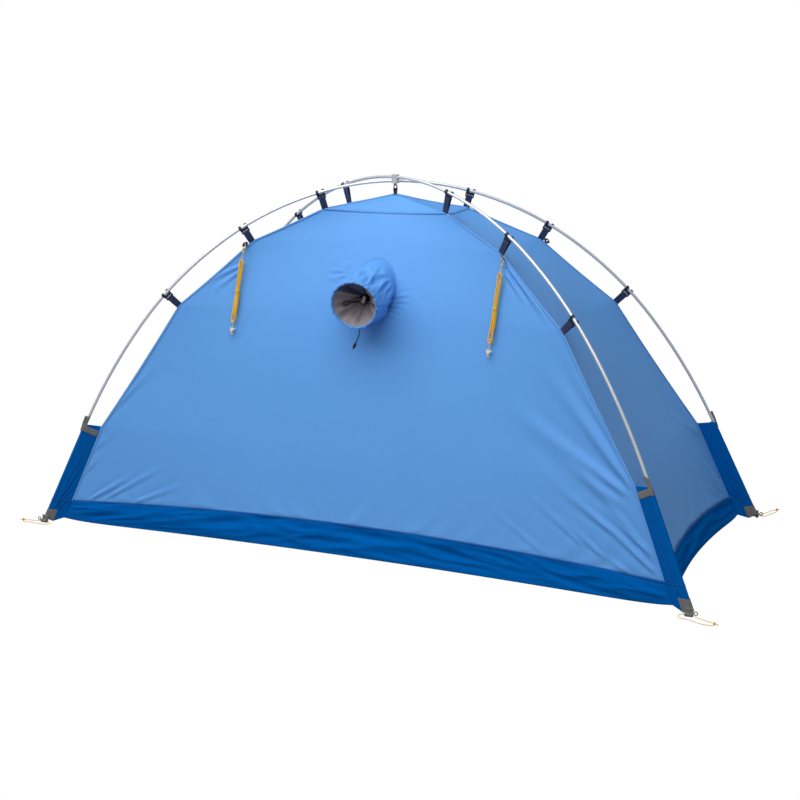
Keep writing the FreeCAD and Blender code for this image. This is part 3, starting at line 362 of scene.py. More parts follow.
# %% [markdown]
# ## The tent's own measures
# Each pole's plane cuts the canopy along a ridge seam. A leg's frame has its X out along the diagonal, so a
# ridge is only a list of distances out and heights, and one function turns that to any of the four legs.
# The pole tips stand at the corners of a rectangle, and its diagonal gives the legs' direction.

# %% Measures
TIP_SPAN = Vector((2.1070, 0.8974))
DIAGONAL = TIP_SPAN.normalized()
LEGS = {"front_left": (-1, -1), "front_right": (1, -1), "back_left": (-1, 1), "back_right": (1, 1)}
HEM = (1.083, 0.003)
RIDGE = ((1.053, 0.068), (0.943, 0.313), (0.677, 0.703), (0.443, 0.900), (0.216, 1.000))
PEAK = 1.042
RIDGE_SLACK = 0.004
CLOTH = 0.0006
LONG_MIDDLE = ((0.092, 0.3627), (0.313, 0.3086), (0.703, 0.1943), (0.900, 0.1066), (0.991, 0.0516))
SHORT_MIDDLE = ((0.084, 0.9328), (0.313, 0.8306), (0.703, 0.5818), (0.900, 0.3696), (0.991, 0.1827))
LONG_RISE, SHORT_RISE, ROOF_DROP = 0.024, 0.016, 0.009
LONG_HEM_SAG, SHORT_HEM_SAG = 0.040, 0.042
POLE_FOOT, POLE_MOUTH = (1.1376, 0.017), (0.9974, 0.311)


def leg_point(leg, out, height, beside=0.0):
    """A point of a leg's own frame: out along the diagonal, up, and beside it."""
    side_x, side_y = LEGS[leg]
    along = Vector((side_x * DIAGONAL.x, side_y * DIAGONAL.y, 0.0))
    across = Vector((-along.y, along.x, 0.0))
    return along * out + across * beside + Vector((0.0, 0.0, height))


def smooth_step(share):
    share = min(max(share, 0.0), 1.0)
    return share * share * (3.0 - 2.0 * share)


def along_line(points, height):
    """Straight-line reading of a table of (value, height) points, and how far along its span it is."""
    for (value_low, low), (value_high, high) in zip(points, points[1:]):
        if height <= high or (value_high, high) == points[-1]:
            share = (height - low) / (high - low)
            return value_low + (value_high - value_low) * share, share


def ridge_out(height):
    """How far out the ridge seam is at a height. Between its clips it pulls in a little."""
    out, share = along_line(RIDGE, height)
    slack = RIDGE_SLACK if height > RIDGE[1][1] else 0.0
    return out - slack * 4.0 * share * (1.0 - share)


def smooth_line(points, height):
    """A smooth reading of a table of (height, value) points: a cubic through them."""
    count = len(points)
    index = max(i for i in range(count - 1) if i == 0 or height >= points[i][0])
    (z0, v0), (z1, v1) = points[index], points[index + 1]

    def slope(i):
        low, high = max(i - 1, 0), min(i + 1, count - 1)
        return (points[high][1] - points[low][1]) / (points[high][0] - points[low][0])

    run = z1 - z0
    t = (height - z0) / run
    m0, m1 = slope(index) * run, slope(index + 1) * run
    start = v0 * (2 * t**3 - 3 * t**2 + 1) + m0 * (t**3 - 2 * t**2 + t)
    return start + v1 * (3 * t**2 - 2 * t**3) + m1 * (t**3 - t**2)


print("diagonal", tuple(round(c, 4) for c in DIAGONAL), "between the pole tips", tuple(TIP_SPAN))

# %% [markdown]
# ## Cords come first
# A cord has a fixed length, so its route is settled before anything is dressed round it. Each route here is a
# short list of given points, and a NURBS curve of order 3 rounds them into one soft line that stays
# inside their corners. The order is set after the points are added, because a new spline has only one point
# and would fall back to straight runs.


# %% Cord helpers
def link(piece):
    bpy.context.scene.collection.objects.link(piece)
    return piece


def nurbs(name, points, cyclic=False):
    """A curve of one NURBS spline through a route."""
    data = bpy.data.curves.new(name, "CURVE")
    data.dimensions = "3D"
    spline = data.splines.new("NURBS")
    spline.points.add(len(points) - 1)
    for control, point in zip(spline.points, points):
        control.co = (*point, 1.0)
    spline.order_u = 3
    spline.use_cyclic_u = cyclic
    spline.use_endpoint_u = not cyclic
    data.resolution_u = 6
    return data


def cord(name, points, diameter, finish, sides=3):
    """A round cord along a route."""
    data = nurbs(name, points)
    data.bevel_depth = diameter / 2
    data.bevel_resolution = sides
    data.use_fill_caps = True
    data.materials.append(finish)
    return link(bpy.data.objects.new(name, data))


def cord_mesh(name, routes, diameter, finish):
    """Several short cords as one mesh piece, such as a knot and its ends."""
    mesh = bmesh.new()
    for route, cyclic in routes:
        data = nurbs(name + "_line", route, cyclic)
        data.bevel_depth = diameter / 2
        data.bevel_resolution = 2
        data.use_fill_caps = not cyclic
        helper = bpy.data.objects.new(name + "_line", data)
        mesh.from_mesh(bpy.data.meshes.new_from_object(helper))
        bpy.data.objects.remove(helper)
        bpy.data.curves.remove(data)
    return mesh_piece(name, mesh, finish)


def mesh_piece(name, mesh, finish, smooth=True):
    """Turns a bmesh into a linked piece with one finish."""
    data = bpy.data.meshes.new(name)
    mesh.to_mesh(data)
    mesh.free()
    for face in data.polygons:
        face.use_smooth = smooth
    data.materials.append(finish)
    return link(bpy.data.objects.new(name, data))


def overhand(middle, along, size):
    """The route of a small pulled-tight knot: a trefoil that is flattened along the cord."""
    turn = Vector((0.0, 0.0, 1.0)).rotation_difference(along)
    points = []
    for step in range(18):
        angle = 2 * math.pi * step / 18
        radius = 2.0 + math.cos(3 * angle)
        local = Vector(
            (radius * math.cos(2 * angle), radius * math.sin(2 * angle), 1.4 * math.sin(3 * angle))
        )
        points.append(middle + turn @ (local * size / 3.0))
    return points


# %% [markdown]
# ## Peg loops
# A thin yellow cord runs through the rolled webbing at a corner, lies on the ground, and is knotted at its
# far end, where a peg would hold it. It leaves the webbing at one end and comes back to the other, so it is
# one cord from loop to loop, and the knot with its short ends is a piece of its own that lies on it.

# %% Peg loops
PEG_D = 0.0022
PEG_ROUTES = {
    "front_right": [
        (1.0572, -0.4607, 0.0060), (1.0635, -0.4630, 0.0036), (1.0720, -0.4645, 0.0018),
        (1.0830, -0.4675, 0.0013), (1.0950, -0.4740, 0.0014), (1.1060, -0.4775, 0.0013),
        (1.1150, -0.4820, 0.0015), (1.1215, -0.4885, 0.0016), (1.1200, -0.4970, 0.0015),
        (1.1115, -0.5015, 0.0013), (1.0980, -0.5015, 0.0014), (1.0820, -0.4985, 0.0013),
        (1.0670, -0.4925, 0.0014), (1.0535, -0.4860, 0.0013), (1.0420, -0.4815, 0.0014),
        (1.0304, -0.4815, 0.0015), (1.0214, -0.4774, 0.0022), (1.0191, -0.4684, 0.0038),
        (1.0246, -0.4611, 0.0054), (1.0338, -0.4607, 0.0060),
    ],
    "front_left": [
        (-1.0572, -0.4607, 0.0060), (-1.0635, -0.4599, 0.0036), (-1.0715, -0.4572, 0.0018),
        (-1.0820, -0.4575, 0.0013), (-1.0940, -0.4605, 0.0014), (-1.1050, -0.4595, 0.0013),
        (-1.1145, -0.4610, 0.0015), (-1.1210, -0.4670, 0.0016), (-1.1205, -0.4755, 0.0015),
        (-1.1125, -0.4800, 0.0013), (-1.1010, -0.4795, 0.0014), (-1.0860, -0.4765, 0.0013),
        (-1.0700, -0.4795, 0.0014), (-1.0550, -0.4780, 0.0013), (-1.0420, -0.4800, 0.0014),
        (-1.0302, -0.4797, 0.0016), (-1.0219, -0.4761, 0.0024), (-1.0197, -0.4676, 0.0038),
        (-1.0251, -0.4611, 0.0054), (-1.0338, -0.4607, 0.0060),
    ],
    "back_right": [
        (1.0572, 0.4607, 0.0060), (1.0635, 0.4625, 0.0038), (1.0705, 0.4680, 0.0020),
        (1.0770, 0.4775, 0.0013), (1.0830, 0.4895, 0.0014), (1.0870, 0.5030, 0.0013),
        (1.0930, 0.5165, 0.0014), (1.0985, 0.5280, 0.0013), (1.1010, 0.5385, 0.0015),
        (1.0965, 0.5465, 0.0016), (1.0875, 0.5470, 0.0015), (1.0815, 0.5400, 0.0013),
        (1.0790, 0.5280, 0.0014), (1.0740, 0.5140, 0.0013), (1.0665, 0.5005, 0.0014),
        (1.0565, 0.4900, 0.0013), (1.0450, 0.4840, 0.0014), (1.0337, 0.4826, 0.0017),
        (1.0226, 0.4789, 0.0026), (1.0193, 0.4700, 0.0040), (1.0243, 0.4619, 0.0054),
        (1.0338, 0.4607, 0.0060),
    ],
}
PEG_KNOTS = {
    "front_right": ((1.1205, -0.4925, 0.0053), (0.9, -0.4, 0.0)),
    "front_left": ((-1.1210, -0.4715, 0.0053), (-1.0, 0.1, 0.0)),
    "back_right": ((1.0990, 0.5440, 0.0053), (0.5, 0.85, 0.0)),
}

for leg, route in PEG_ROUTES.items():
    loop = cord(f"peg_cord_{leg}", route, PEG_D, PALE_YELLOW)
    place, along = (Vector(v) for v in PEG_KNOTS[leg])
    along.normalize()
    aside = Vector((-along.y, along.x, 0.0))
    ends = [
        [place, place + along * 0.006 + aside * side * 0.002, place + along * 0.011 + aside * side * 0.0015
         - Vector((0.0, 0.0, 0.0024))]
        for side in (-1, 1)
    ]
    knot = [(overhand(place, along, 0.0042), True), (ends[0], False), (ends[1], False)]
    tie = cord_mesh(f"peg_knot_{leg}", knot, PEG_D, PALE_YELLOW)
    for piece in (loop, tie):
        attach(piece, "root")
    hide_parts(f"peg_loop_{leg}")
    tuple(route[0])
print("peg loops:", len(PEG_ROUTES))

# %% [markdown]
# ## The vent's drawcord tail
# The drawcord in the tunnel's rim comes out at its foot, passes through a spring toggle and ends in a knot.
# Its weight pulls it straight down, apart from the kink where the hem lets it out.

# %% Drawcord tail
TAIL_D = 0.0028
TAIL_ROUTE = [
    (0.0252, -0.3172, 0.6800), (0.0246, -0.3196, 0.6680), (0.0216, -0.3204, 0.6555),
    (0.0156, -0.3206, 0.6430), (0.0054, -0.3206, 0.6234),
]
tail = cord("vent_drawcord_tail", TAIL_ROUTE, TAIL_D, BLACK_CORD)
tail_end, tail_before = Vector(TAIL_ROUTE[-1]), Vector(TAIL_ROUTE[-2])
tail_along = (tail_end - tail_before).normalized()
tail_loop = overhand(tail_end + tail_along * 0.0012, tail_along, 0.0026)
tail_knot = cord_mesh("vent_tail_knot", [(tail_loop, True)], 0.0019, BLACK_CORD)
for piece in (tail, tail_knot):
    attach(piece, "root")
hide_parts("vent_cord_tail")
print("drawcord tail leaves the hem at", TAIL_ROUTE[0])

# %% [markdown]
# ## The made-up guy lines
# Each front guy line is folded back and forth into a hank and tied round its middle, so it hangs as a slim
# bundle under its tab. The folds are wider than the bundle, because cord springs open at a fold, and each
# fold lies on the next. The route is built run by run: down, a fold, up, a fold, and at last the turns round
# the waist and the strand that hangs down to the runner.


# %% Guy line hanks
GUY_D = 0.0023
RUNS = 5
HANKS = {
    "left": (Vector((-0.4285, -0.2030, 0.8460)), Vector((-0.4390, -0.2525, 0.6570))),
    "right": (Vector((0.4150, -0.1990, 0.8460)), Vector((0.4015, -0.2495, 0.6480))),
}
JOINTS = {joint["name"]: joint for joint in frame["joints"]}


def hank_route(side, chance):
    """The route of one made-up line, from its tab to its runner."""
    top, end = HANKS[side]
    hole = Vector(JOINTS[f"guy_hank_{side}_swing"]["pos_m"])
    down = (end - top).normalized()
    length = (end - top).length
    width = Vector((1.0, 0.0, 0.0))
    width = (width - down * width.dot(down)).normalized()
    depth = down.cross(width)

    def at(drop, aside, deep):
        return top + down * drop + width * aside + depth * deep

    hole_drop = (hole - top).dot(down)
    hole_aside = (hole - top).dot(width)
    hole_deep = (hole - top).dot(depth)
    route = [at(-0.030, -0.0016, 0.0)]
    route += [at(hole_drop + 0.010, hole_aside - 0.0055, hole_deep * 0.8 - 0.001)]
    route += [at(hole_drop - 0.0015, hole_aside - 0.0030, hole_deep - 0.002)]
    route += [at(hole_drop - 0.0015, hole_aside + 0.0020, hole_deep + 0.003)]
    route += [at(hole_drop + 0.010, hole_aside + 0.0060, hole_deep * 0.8 + 0.002)]
    route += [at(-0.028, 0.0022, 0.001), at(-0.018, 0.0010, 0.0)]
    waist = 0.50 * length
    for run in range(RUNS):
        deep = (run - (RUNS - 1) / 2) * 0.0019
        spread = (0.0034, 0.0013)[run % 2]
        start = 0.006 + chance.uniform(-0.003, 0.006)
        finish = length - 0.006 + chance.uniform(-0.012, 0.002)
        swing = chance.uniform(0.0048, 0.0068)
        wander = chance.uniform(-0.0012, 0.0012)
        route += [at(start + 0.012, -spread - 0.0012, deep)]
        route += [at(0.27 * length, -spread - 0.0008 + wander, deep)]
        route += [at(waist, -spread, deep), at(0.75 * length, -spread - 0.0012 - wander, deep)]
        route += [at(finish - 0.016, -spread - 0.0016, deep), at(finish - 0.005, -swing, deep)]
        route += [at(finish + 0.0035, -0.0030, deep + 0.0003), at(finish + 0.0035, 0.0030, deep + 0.0006)]
        route += [at(finish - 0.005, swing, deep + 0.0008)]
        route += [at(finish - 0.016, spread + 0.0016, deep + 0.0008)]
        route += [at(0.75 * length, spread + 0.0012 + wander, deep + 0.0008)]
        route += [at(waist, spread, deep + 0.0008)]
        if run < RUNS - 1:
            route += [at(0.27 * length, spread + 0.0010, deep + 0.0008)]
            route += [at(start + 0.014, spread + 0.0014, deep)]
            route += [at(start + 0.003, swing, deep + 0.0012), at(start - 0.005, 0.0028, deep + 0.0014)]
            route += [at(start - 0.005, -0.0028, deep + 0.0017), at(start + 0.003, -swing, deep + 0.0019)]
    turns, steps = 3, 9
    for step in range(turns * steps + 1):
        angle = 2 * math.pi * step / steps
        drop = waist - 0.0035 + 0.0024 * step / steps
        route.append(at(drop, 0.0068 * math.cos(angle), 0.0064 * math.sin(angle)))
    route += [at(waist + 0.014, 0.0062, -0.0012), at(0.66 * length, 0.0074, 0.0010)]
    route += [at(0.82 * length, 0.0068, 0.0018), at(0.95 * length, 0.0040, 0.0008)]
    route += [at(length + 0.006, 0.0006, 0.0), at(length + 0.017, 0.0, 0.0), at(length + 0.033, 0.0, 0.0)]
    return route, hole, at


for side in HANKS:
    chance = random.Random(11 if side == "left" else 23)
    route, hole, at = hank_route(side, chance)
    line = cord(f"guy_cord_{side}", route, GUY_D, YELLOW, 2)
    hang = HANKS[side][1] - HANKS[side][0]
    down = hang.normalized()
    knots = [
        (overhand(at(-0.024, 0.0003, 0.0), down, 0.0036), True),
        (overhand(at(hang.length + 0.034, 0.0, 0.0), down, 0.0032), True),
    ]
    tie = cord_mesh(f"guy_knots_{side}", knots, GUY_D, YELLOW)
    for piece in (line, tie):
        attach(piece, f"guy_hank_{side}")
    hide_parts(f"guy_line_{side}")
    tuple(hole)
print("guy lines:", len(HANKS), "folded", 2 * RUNS, "times")

# %% [markdown]
# ## The walls as surfaces
# Each wall hangs from two ridge seams and bows in between them, so a level line across it is a shallow arc.
# The arc's two ends are on the ridges, and its middle follows a smooth curve from the floor band up to the
# roof. One function gives how far a wall stands out at any place along it and any height. Everything sewn to
# that wall asks the same function, so tapes, zips and bands lie on the cloth and not near it.
# Each side has its own frame, seen from outside: along to the right, outward, and up.


# %% Wall surfaces
UP = Vector((0.0, 0.0, 1.0))
SIDES = {
    "front": ("long", Vector((1.0, 0.0, 0.0)), Vector((0.0, -1.0, 0.0))),
    "rear": ("long", Vector((-1.0, 0.0, 0.0)), Vector((0.0, 1.0, 0.0))),
    "right": ("short", Vector((0.0, 1.0, 0.0)), Vector((1.0, 0.0, 0.0))),
    "left": ("short", Vector((0.0, -1.0, 0.0)), Vector((-1.0, 0.0, 0.0))),
}
SHAPES = {
    "long": (DIAGONAL.x, DIAGONAL.y, LONG_MIDDLE, LONG_RISE, LONG_HEM_SAG),
    "short": (DIAGONAL.y, DIAGONAL.x, SHORT_MIDDLE, SHORT_RISE, SHORT_HEM_SAG),
}


def rise_at(level, rise):
    """How much higher a level line is at the wall's middle than at its ridges."""
    low, high = RIDGE[0][1], RIDGE[1][1]
    if level < high:
        return rise * (1.0 - smooth_step((level - low) / (high - low)))
    start, end = RIDGE[3][1], RIDGE[4][1]
    return -ROOF_DROP * max((level - start) / (end - start), 0.0) ** 2


def wall_depth(kind, along, height):
    """How far out a wall stands, at a place along it and a height."""
    share, cross, middle, rise, _ = SHAPES[kind]
    level = height
    place = 0.0
    for _ in range(3):
        place = min(abs(along) / (ridge_out(level) * share), 1.0)
        level = height - rise_at(level, rise) * (1.0 - place**2)
    inner = smooth_line(middle, level + rise_at(level, rise))
    return ridge_out(level) * cross * place**2 + inner * (1.0 - place**2)


def on_wall(side, along, height, raised=0.0):
    """A point of a wall's cloth, raised off it along its normal."""
    kind, right, outward = SIDES[side]
    step = 0.002
    depth = wall_depth(kind, along, height)
    lean = (wall_depth(kind, along + step, height) - depth) / step
    fall = (wall_depth(kind, along, height + step) - depth) / step
    normal = (outward - right * lean - UP * fall).normalized()
    return right * along + outward * depth + UP * height + normal * raised


def level_point(side, share, level):
    """Where a level line of a wall passes: its place along the wall, and its height."""
    across, _, _, rise, _ = SHAPES[SIDES[side][0]]
    return share * ridge_out(level) * across, level + rise_at(level, rise) * (1.0 - share**2)


def roof_point(a, b, raised=0.0):
    """A point of the small roof, from -1 to 1 along and across it."""
    edge, near = max(abs(a), abs(b)), min(abs(a), abs(b))
    bow = 1.0 - (near / edge) ** 2 if edge else 0.0
    corner_x, corner_y = RIDGE[4][0] * DIAGONAL.x, RIDGE[4][0] * DIAGONAL.y
    x = a * (corner_x - (corner_x - SHORT_MIDDLE[4][1]) * (1.0 - b * b))
    y = b * (corner_y - (corner_y - LONG_MIDDLE[4][1]) * (1.0 - a * a))
    return Vector((x, y, PEAK - (PEAK - RIDGE[4][1]) * edge - ROOF_DROP * edge * bow + raised))


print("wall middles at half height:", [round(wall_depth(kind, 0.0, 0.5), 3) for kind in SHAPES])

# %% [markdown]
# ## Folds and creases
# Stretched cloth folds where a pull starts: at the corners, at the tabs, and where the vent's round seam
# puckers the wall. Such a fold is a long low ridge with a shallow trough on each side. It is narrow and sharp
# at the pull and fades as it runs out into the wall. A wall's folds are a list of lines, each with a start, an
# end, a width and a height, and their heights are added. Every fold is listed one by one, and no cloth is
# simulated.


# %% Fold sums
def fold(start, end, width, height):
    """One fold: its start and end as places along the wall and heights, its width, and how tall it stands."""
    return start, end, width, height


def fold_sum(folds, along, height):
    """How far the folds raise the cloth at one place."""
    total = 0.0
    for (start_a, start_h), (end_a, end_h), width, tall in folds:
        run_a, run_h = end_a - start_a, end_h - start_h
        length = math.hypot(run_a, run_h)
        share = ((along - start_a) * run_a + (height - start_h) * run_h) / length**2
        if not -0.08 < share < 1.0:
            continue
        across = ((along - start_a) * run_h - (height - start_h) * run_a) / length
        reach = width * (0.6 + 0.9 * max(share, 0.0))
        place = across / reach
        if abs(place) < 3.2:
            taper = smooth_step((share + 0.08) / 0.2) * (1.0 - smooth_step(share)) ** 0.8
            total += tall * taper * (1.0 - place * place) * math.exp(-place * place / 2)
    return total


def ripple(along, height, seed, scale):
    """Smooth noise from about -1 to 1 on a wall."""
    return noise.noise(Vector((along * scale, height * scale, seed)))


# %% The folds, wall by wall
FRONT_FOLDS = [
    fold((-0.87, 0.33), (-0.66, 0.55), 0.0102, 0.0037),
    fold((-0.43, 0.83), (-0.56, 0.77), 0.0076, 0.0034),
    fold((-0.44, 0.81), (-0.53, 0.74), 0.0076, 0.0031),
    fold((-0.95, 0.20), (-0.82, 0.30), 0.0085, 0.0044),
    fold((-0.90, 0.08), (-0.73, 0.18), 0.0076, 0.0048),
    fold((-0.84, 0.09), (-0.62, 0.22), 0.0076, 0.0044),
    fold((-0.75, 0.08), (-0.56, 0.16), 0.0068, 0.0041),
    fold((-0.96, 0.13), (-0.86, 0.23), 0.0076, 0.0048),
    fold((0.86, 0.31), (0.52, 0.66), 0.0204, 0.0085),
    fold((0.86, 0.34), (0.60, 0.68), 0.0153, 0.0071),
    fold((0.85, 0.35), (0.69, 0.58), 0.0119, 0.0054),
    fold((0.84, 0.29), (0.46, 0.50), 0.0170, 0.0068),
    fold((0.82, 0.26), (0.43, 0.51), 0.0221, 0.0061),
    fold((0.43, 0.87), (0.57, 0.73), 0.0085, 0.0044),
    fold((0.44, 0.86), (0.60, 0.70), 0.0085, 0.0041),
    fold((0.43, 0.84), (0.53, 0.74), 0.0076, 0.0034),
    fold((0.79, 0.11), (0.64, 0.21), 0.0076, 0.0051),
    fold((0.88, 0.07), (0.78, 0.12), 0.0068, 0.0048),
    fold((0.94, 0.09), (0.68, 0.28), 0.0093, 0.0061),
    fold((0.93, 0.13), (0.70, 0.34), 0.0102, 0.0058),
    fold((0.90, 0.15), (0.75, 0.26), 0.0076, 0.0044),
    fold((0.81, 0.18), (0.60, 0.31), 0.0102, 0.0051),
    fold((0.73, 0.13), (0.53, 0.27), 0.0085, 0.0044),
    fold((0.62, 0.09), (0.44, 0.20), 0.0076, 0.0034),
    fold((-0.080, 0.838), (-0.116, 0.843), 0.0044, 0.0040),
    fold((-0.089, 0.831), (-0.132, 0.833), 0.0042, 0.0048),
    fold((-0.092, 0.822), (-0.152, 0.820), 0.0044, 0.0056),
    fold((-0.095, 0.812), (-0.124, 0.809), 0.0042, 0.0044),
    fold((-0.103, 0.804), (-0.165, 0.797), 0.0046, 0.0052),
    fold((-0.115, 0.794), (-0.150, 0.789), 0.0044, 0.0040),
    fold((0.064, 0.7545), (0.130, 0.765), 0.0044, 0.0062),
    fold((0.062, 0.742), (0.130, 0.747), 0.0042, 0.0066),
    fold((0.058, 0.731), (0.124, 0.727), 0.0042, 0.0062),
    fold((0.052, 0.720), (0.112, 0.714), 0.0044, 0.0056),
    fold((0.046, 0.709), (0.094, 0.698), 0.0044, 0.0048),
]
CORNER_FOLDS = [
    fold((0.94, 0.10), (0.72, 0.26), 0.0085, 0.0058),
    fold((0.90, 0.08), (0.70, 0.17), 0.0076, 0.0051),
    fold((0.86, 0.32), (0.62, 0.60), 0.0153, 0.0068),
    fold((0.84, 0.28), (0.52, 0.47), 0.0170, 0.0058),
    fold((0.93, 0.16), (0.78, 0.31), 0.0085, 0.0051),
    fold((0.43, 0.86), (0.56, 0.73), 0.0085, 0.0037),
    fold((0.74, 0.09), (0.56, 0.18), 0.0068, 0.0037),
]
SHORT_FOLDS = [
    fold((0.39, 0.09), (0.24, 0.22), 0.0061, 0.0077),
    fold((0.38, 0.08), (0.21, 0.17), 0.0061, 0.0072),
    fold((0.40, 0.11), (0.30, 0.26), 0.0068, 0.0077),
    fold((0.36, 0.31), (0.24, 0.50), 0.0107, 0.0077),
    fold((0.35, 0.28), (0.20, 0.40), 0.0092, 0.0066),
]


def mirrored(folds):
    """The same folds on the wall's other half."""
    return [((-a0, h0), (-a1, h1), width, tall) for (a0, h0), (a1, h1), width, tall in folds]


WALL_FOLDS = {
    "front": FRONT_FOLDS,
    "rear": CORNER_FOLDS + mirrored(CORNER_FOLDS[:5]),
    "right": SHORT_FOLDS + mirrored(SHORT_FOLDS[:3]),
    "left": SHORT_FOLDS[:4] + mirrored(SHORT_FOLDS),
}
print("folds:", {side: len(folds) for side, folds in WALL_FOLDS.items()})

# %% [markdown]
# ## Cloth pieces
# Every piece of cloth starts as a flat grid, as cloth does. Each of the grid's points is then put where a
# surface function says. The UV map is in metres, so the weave keeps its size on large and small pieces. A
# Solidify modifier gives the cloth its half millimetre, inward from the face that shows. A tube is a sheet
# whose two sides meet, so its doubled points are merged.


# %% Cloth builder
def cloth(name, columns, rows, surface, finish, size, thickness=CLOTH, keep=None, weld=False):
    """A sheet: a grid whose points come from surface(share across, share up), each from 0 to 1."""
    mesh = bmesh.new()
    bmesh.ops.create_grid(mesh, x_segments=columns, y_segments=rows, size=1.0)
    layer = mesh.loops.layers.uv.new("UVMap")
    for face in mesh.faces:
        for corner in face.loops:
            across, upward = (corner.vert.co.x + 1.0) / 2, (corner.vert.co.y + 1.0) / 2
            corner[layer].uv = (across * size[0], upward * size[1])
    for point in mesh.verts:
        point.co = surface((point.co.x + 1.0) / 2, (point.co.y + 1.0) / 2)
    if keep:
        doomed = [face for face in mesh.faces if not keep(face.calc_center_median())]
        bmesh.ops.delete(mesh, geom=doomed, context="FACES")
        lone = [point for point in mesh.verts if not point.link_faces]
        bmesh.ops.delete(mesh, geom=lone, context="VERTS")
    if weld:
        bmesh.ops.remove_doubles(mesh, verts=mesh.verts, dist=0.00002)
    piece = mesh_piece(name, mesh, finish)
    if thickness:
        solid = piece.modifiers.new("thickness", "SOLIDIFY")
        solid.thickness = thickness
        solid.offset = -1.0
    return piece


def sewn(piece, slot, *nodes, body="root"):
    """The piece moves with its body, and stands for these frame parts."""
    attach(piece, body)
    if nodes:
        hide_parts(*nodes)
    return piece


def strip(name, lines, finish, width, length, thickness=CLOTH):
    """A narrow strip through rows of points: lines holds one row of points for each step along it."""
    rows, columns = len(lines) - 1, len(lines[0]) - 1

    def surface(across, along):
        return lines[round(along * rows)][round(across * columns)]

    return cloth(name, columns, rows, surface, finish, (width, length), thickness)


# %% [markdown]
# ## The openings
# The front wall has a round hole for the vent tunnel, and the rear wall has the door's opening. Each is given
# by one function, which says how far a point is outside it. That is all a wall needs to know: grid points near
# such an edge are moved onto it, and the faces inside are left out, so the edge is clean.

# %% Vent and door outlines
VENT_BASE, VENT_RIM = Vector((0.0, -0.165, 0.779)), Vector((0.014, -0.331, 0.751))
VENT_AXIS = (VENT_RIM - VENT_BASE).normalized()
VENT_R = 0.070
DOOR_HALF, DOOR_LOW, DOOR_SHOULDER, DOOR_TOP = 0.360, 0.150, 0.580, 0.800
DOOR_CORNER = 0.060
ARCH_R = (DOOR_HALF**2 + (DOOR_TOP - DOOR_SHOULDER) ** 2) / (2 * (DOOR_TOP - DOOR_SHOULDER))
ZIP_WIDTH = 0.009
DOOR_GAP = 0.003


def from_vent(point):
    """How far a point is outside the vent tunnel's wall."""
    offset = point - VENT_BASE
    return (offset - VENT_AXIS * offset.dot(VENT_AXIS)).length - VENT_R


def from_door(point):
    """How far a point is outside the door's outline, seen along Y."""
    side = abs(point.x) - (DOOR_HALF - DOOR_CORNER)
    foot = DOOR_LOW + DOOR_CORNER - point.z
    corner = math.hypot(max(side, 0.0), max(foot, 0.0)) + min(max(side, foot), 0.0) - DOOR_CORNER
    arch = math.hypot(point.x, max(point.z - (DOOR_TOP - ARCH_R), 0.0)) - ARCH_R
    return max(corner, arch)


def to_edge(side, along, height, outside, target, reach):
    """Moves a place onto the line where outside() is target, if it is within reach of it."""
    step = 0.0005
    for _ in range(3):
        here = outside(on_wall(side, along, height)) - target
        if abs(here) > reach:
            return along, height
        slope_a = (outside(on_wall(side, along + step, height)) - target - here) / step
        slope_h = (outside(on_wall(side, along, height + step)) - target - here) / step
        size = max(slope_a**2 + slope_h**2, 0.01)
        along, height = along - here * slope_a / size, height - here * slope_h / size
    return along, height


# %% [markdown]
# ## The four walls
# The cutter's panels are trapezoids: as wide as the ridges at the floor band, and narrow at the roof seam.
# Folds and ripples fade out at the seams, because a seam holds the cloth where it is. Just over the band seam
# the stitching shortens the cloth a little, so small waves stand there.

# %% The walls
WALL_LOW, WALL_HIGH = RIDGE[0][1], RIDGE[4][1]
WALL_GRIDS = {"front": (256, 176), "rear": (170, 110), "right": (110, 110), "left": (90, 90)}
CROWDING = {"front": 0.45}
OPENINGS = {"front": (from_vent, 0.0), "rear": (from_door, 0.0)}
FLAT_WALLS = {"long": ((1.94, 1.05), 1.23), "short": ((0.83, 1.24), 0.66)}
DOOR_AREA = 0.41


def wall_offset(side, along, height, share, upward):
    """How far the cloth stands off its plain surface: folds, ripples, and small waves over the band seam."""
    seed = 3.1 * len(side) + ord(side[0])
    ends, foot, head = (1.0 - abs(share)) / 0.03, upward / 0.012, (1.0 - upward) / 0.02
    held = smooth_step(ends) * smooth_step(foot) * smooth_step(head)
    soft = ripple(along, height, seed, 3.1) * 0.0016 + ripple(along, height, seed + 7, 9.0) * 0.0005
    near_seam = math.exp(-upward / 0.045)
    slant = along + height * 0.9 if along < 0 else along - height * 0.9
    waves = (noise.noise(Vector((slant * 24.0, height * 5.0, seed))) + 0.25) * 0.0046 * near_seam
    return held * (fold_sum(WALL_FOLDS[side], along, height) + soft + waves)


def wall_surface(side, edge=None):
    """The surface function of a wall, with its grid lines drawn onto the edge of an opening. Its columns can
    crowd towards the middle and the ends, where small folds need them."""
    columns, rows = WALL_GRIDS[side]
    crowd = CROWDING.get(side, 0.0)
    width = 2 * RIDGE[0][0] * SHAPES[SIDES[side][0]][0] * (1.0 - crowd)
    reach = 0.55 * max(width / columns, (WALL_HIGH - WALL_LOW) / rows)

    def surface(across, upward):
        share = across * 2.0 - 1.0
        share -= crowd * math.sin(2 * math.pi * share) / (2 * math.pi)
        along, height = level_point(side, share, WALL_LOW + upward * (WALL_HIGH - WALL_LOW))
        if edge:
            along, height = to_edge(side, along, height, *edge, reach)
        return on_wall(side, along, height, wall_offset(side, along, height, share, upward))

    return surface


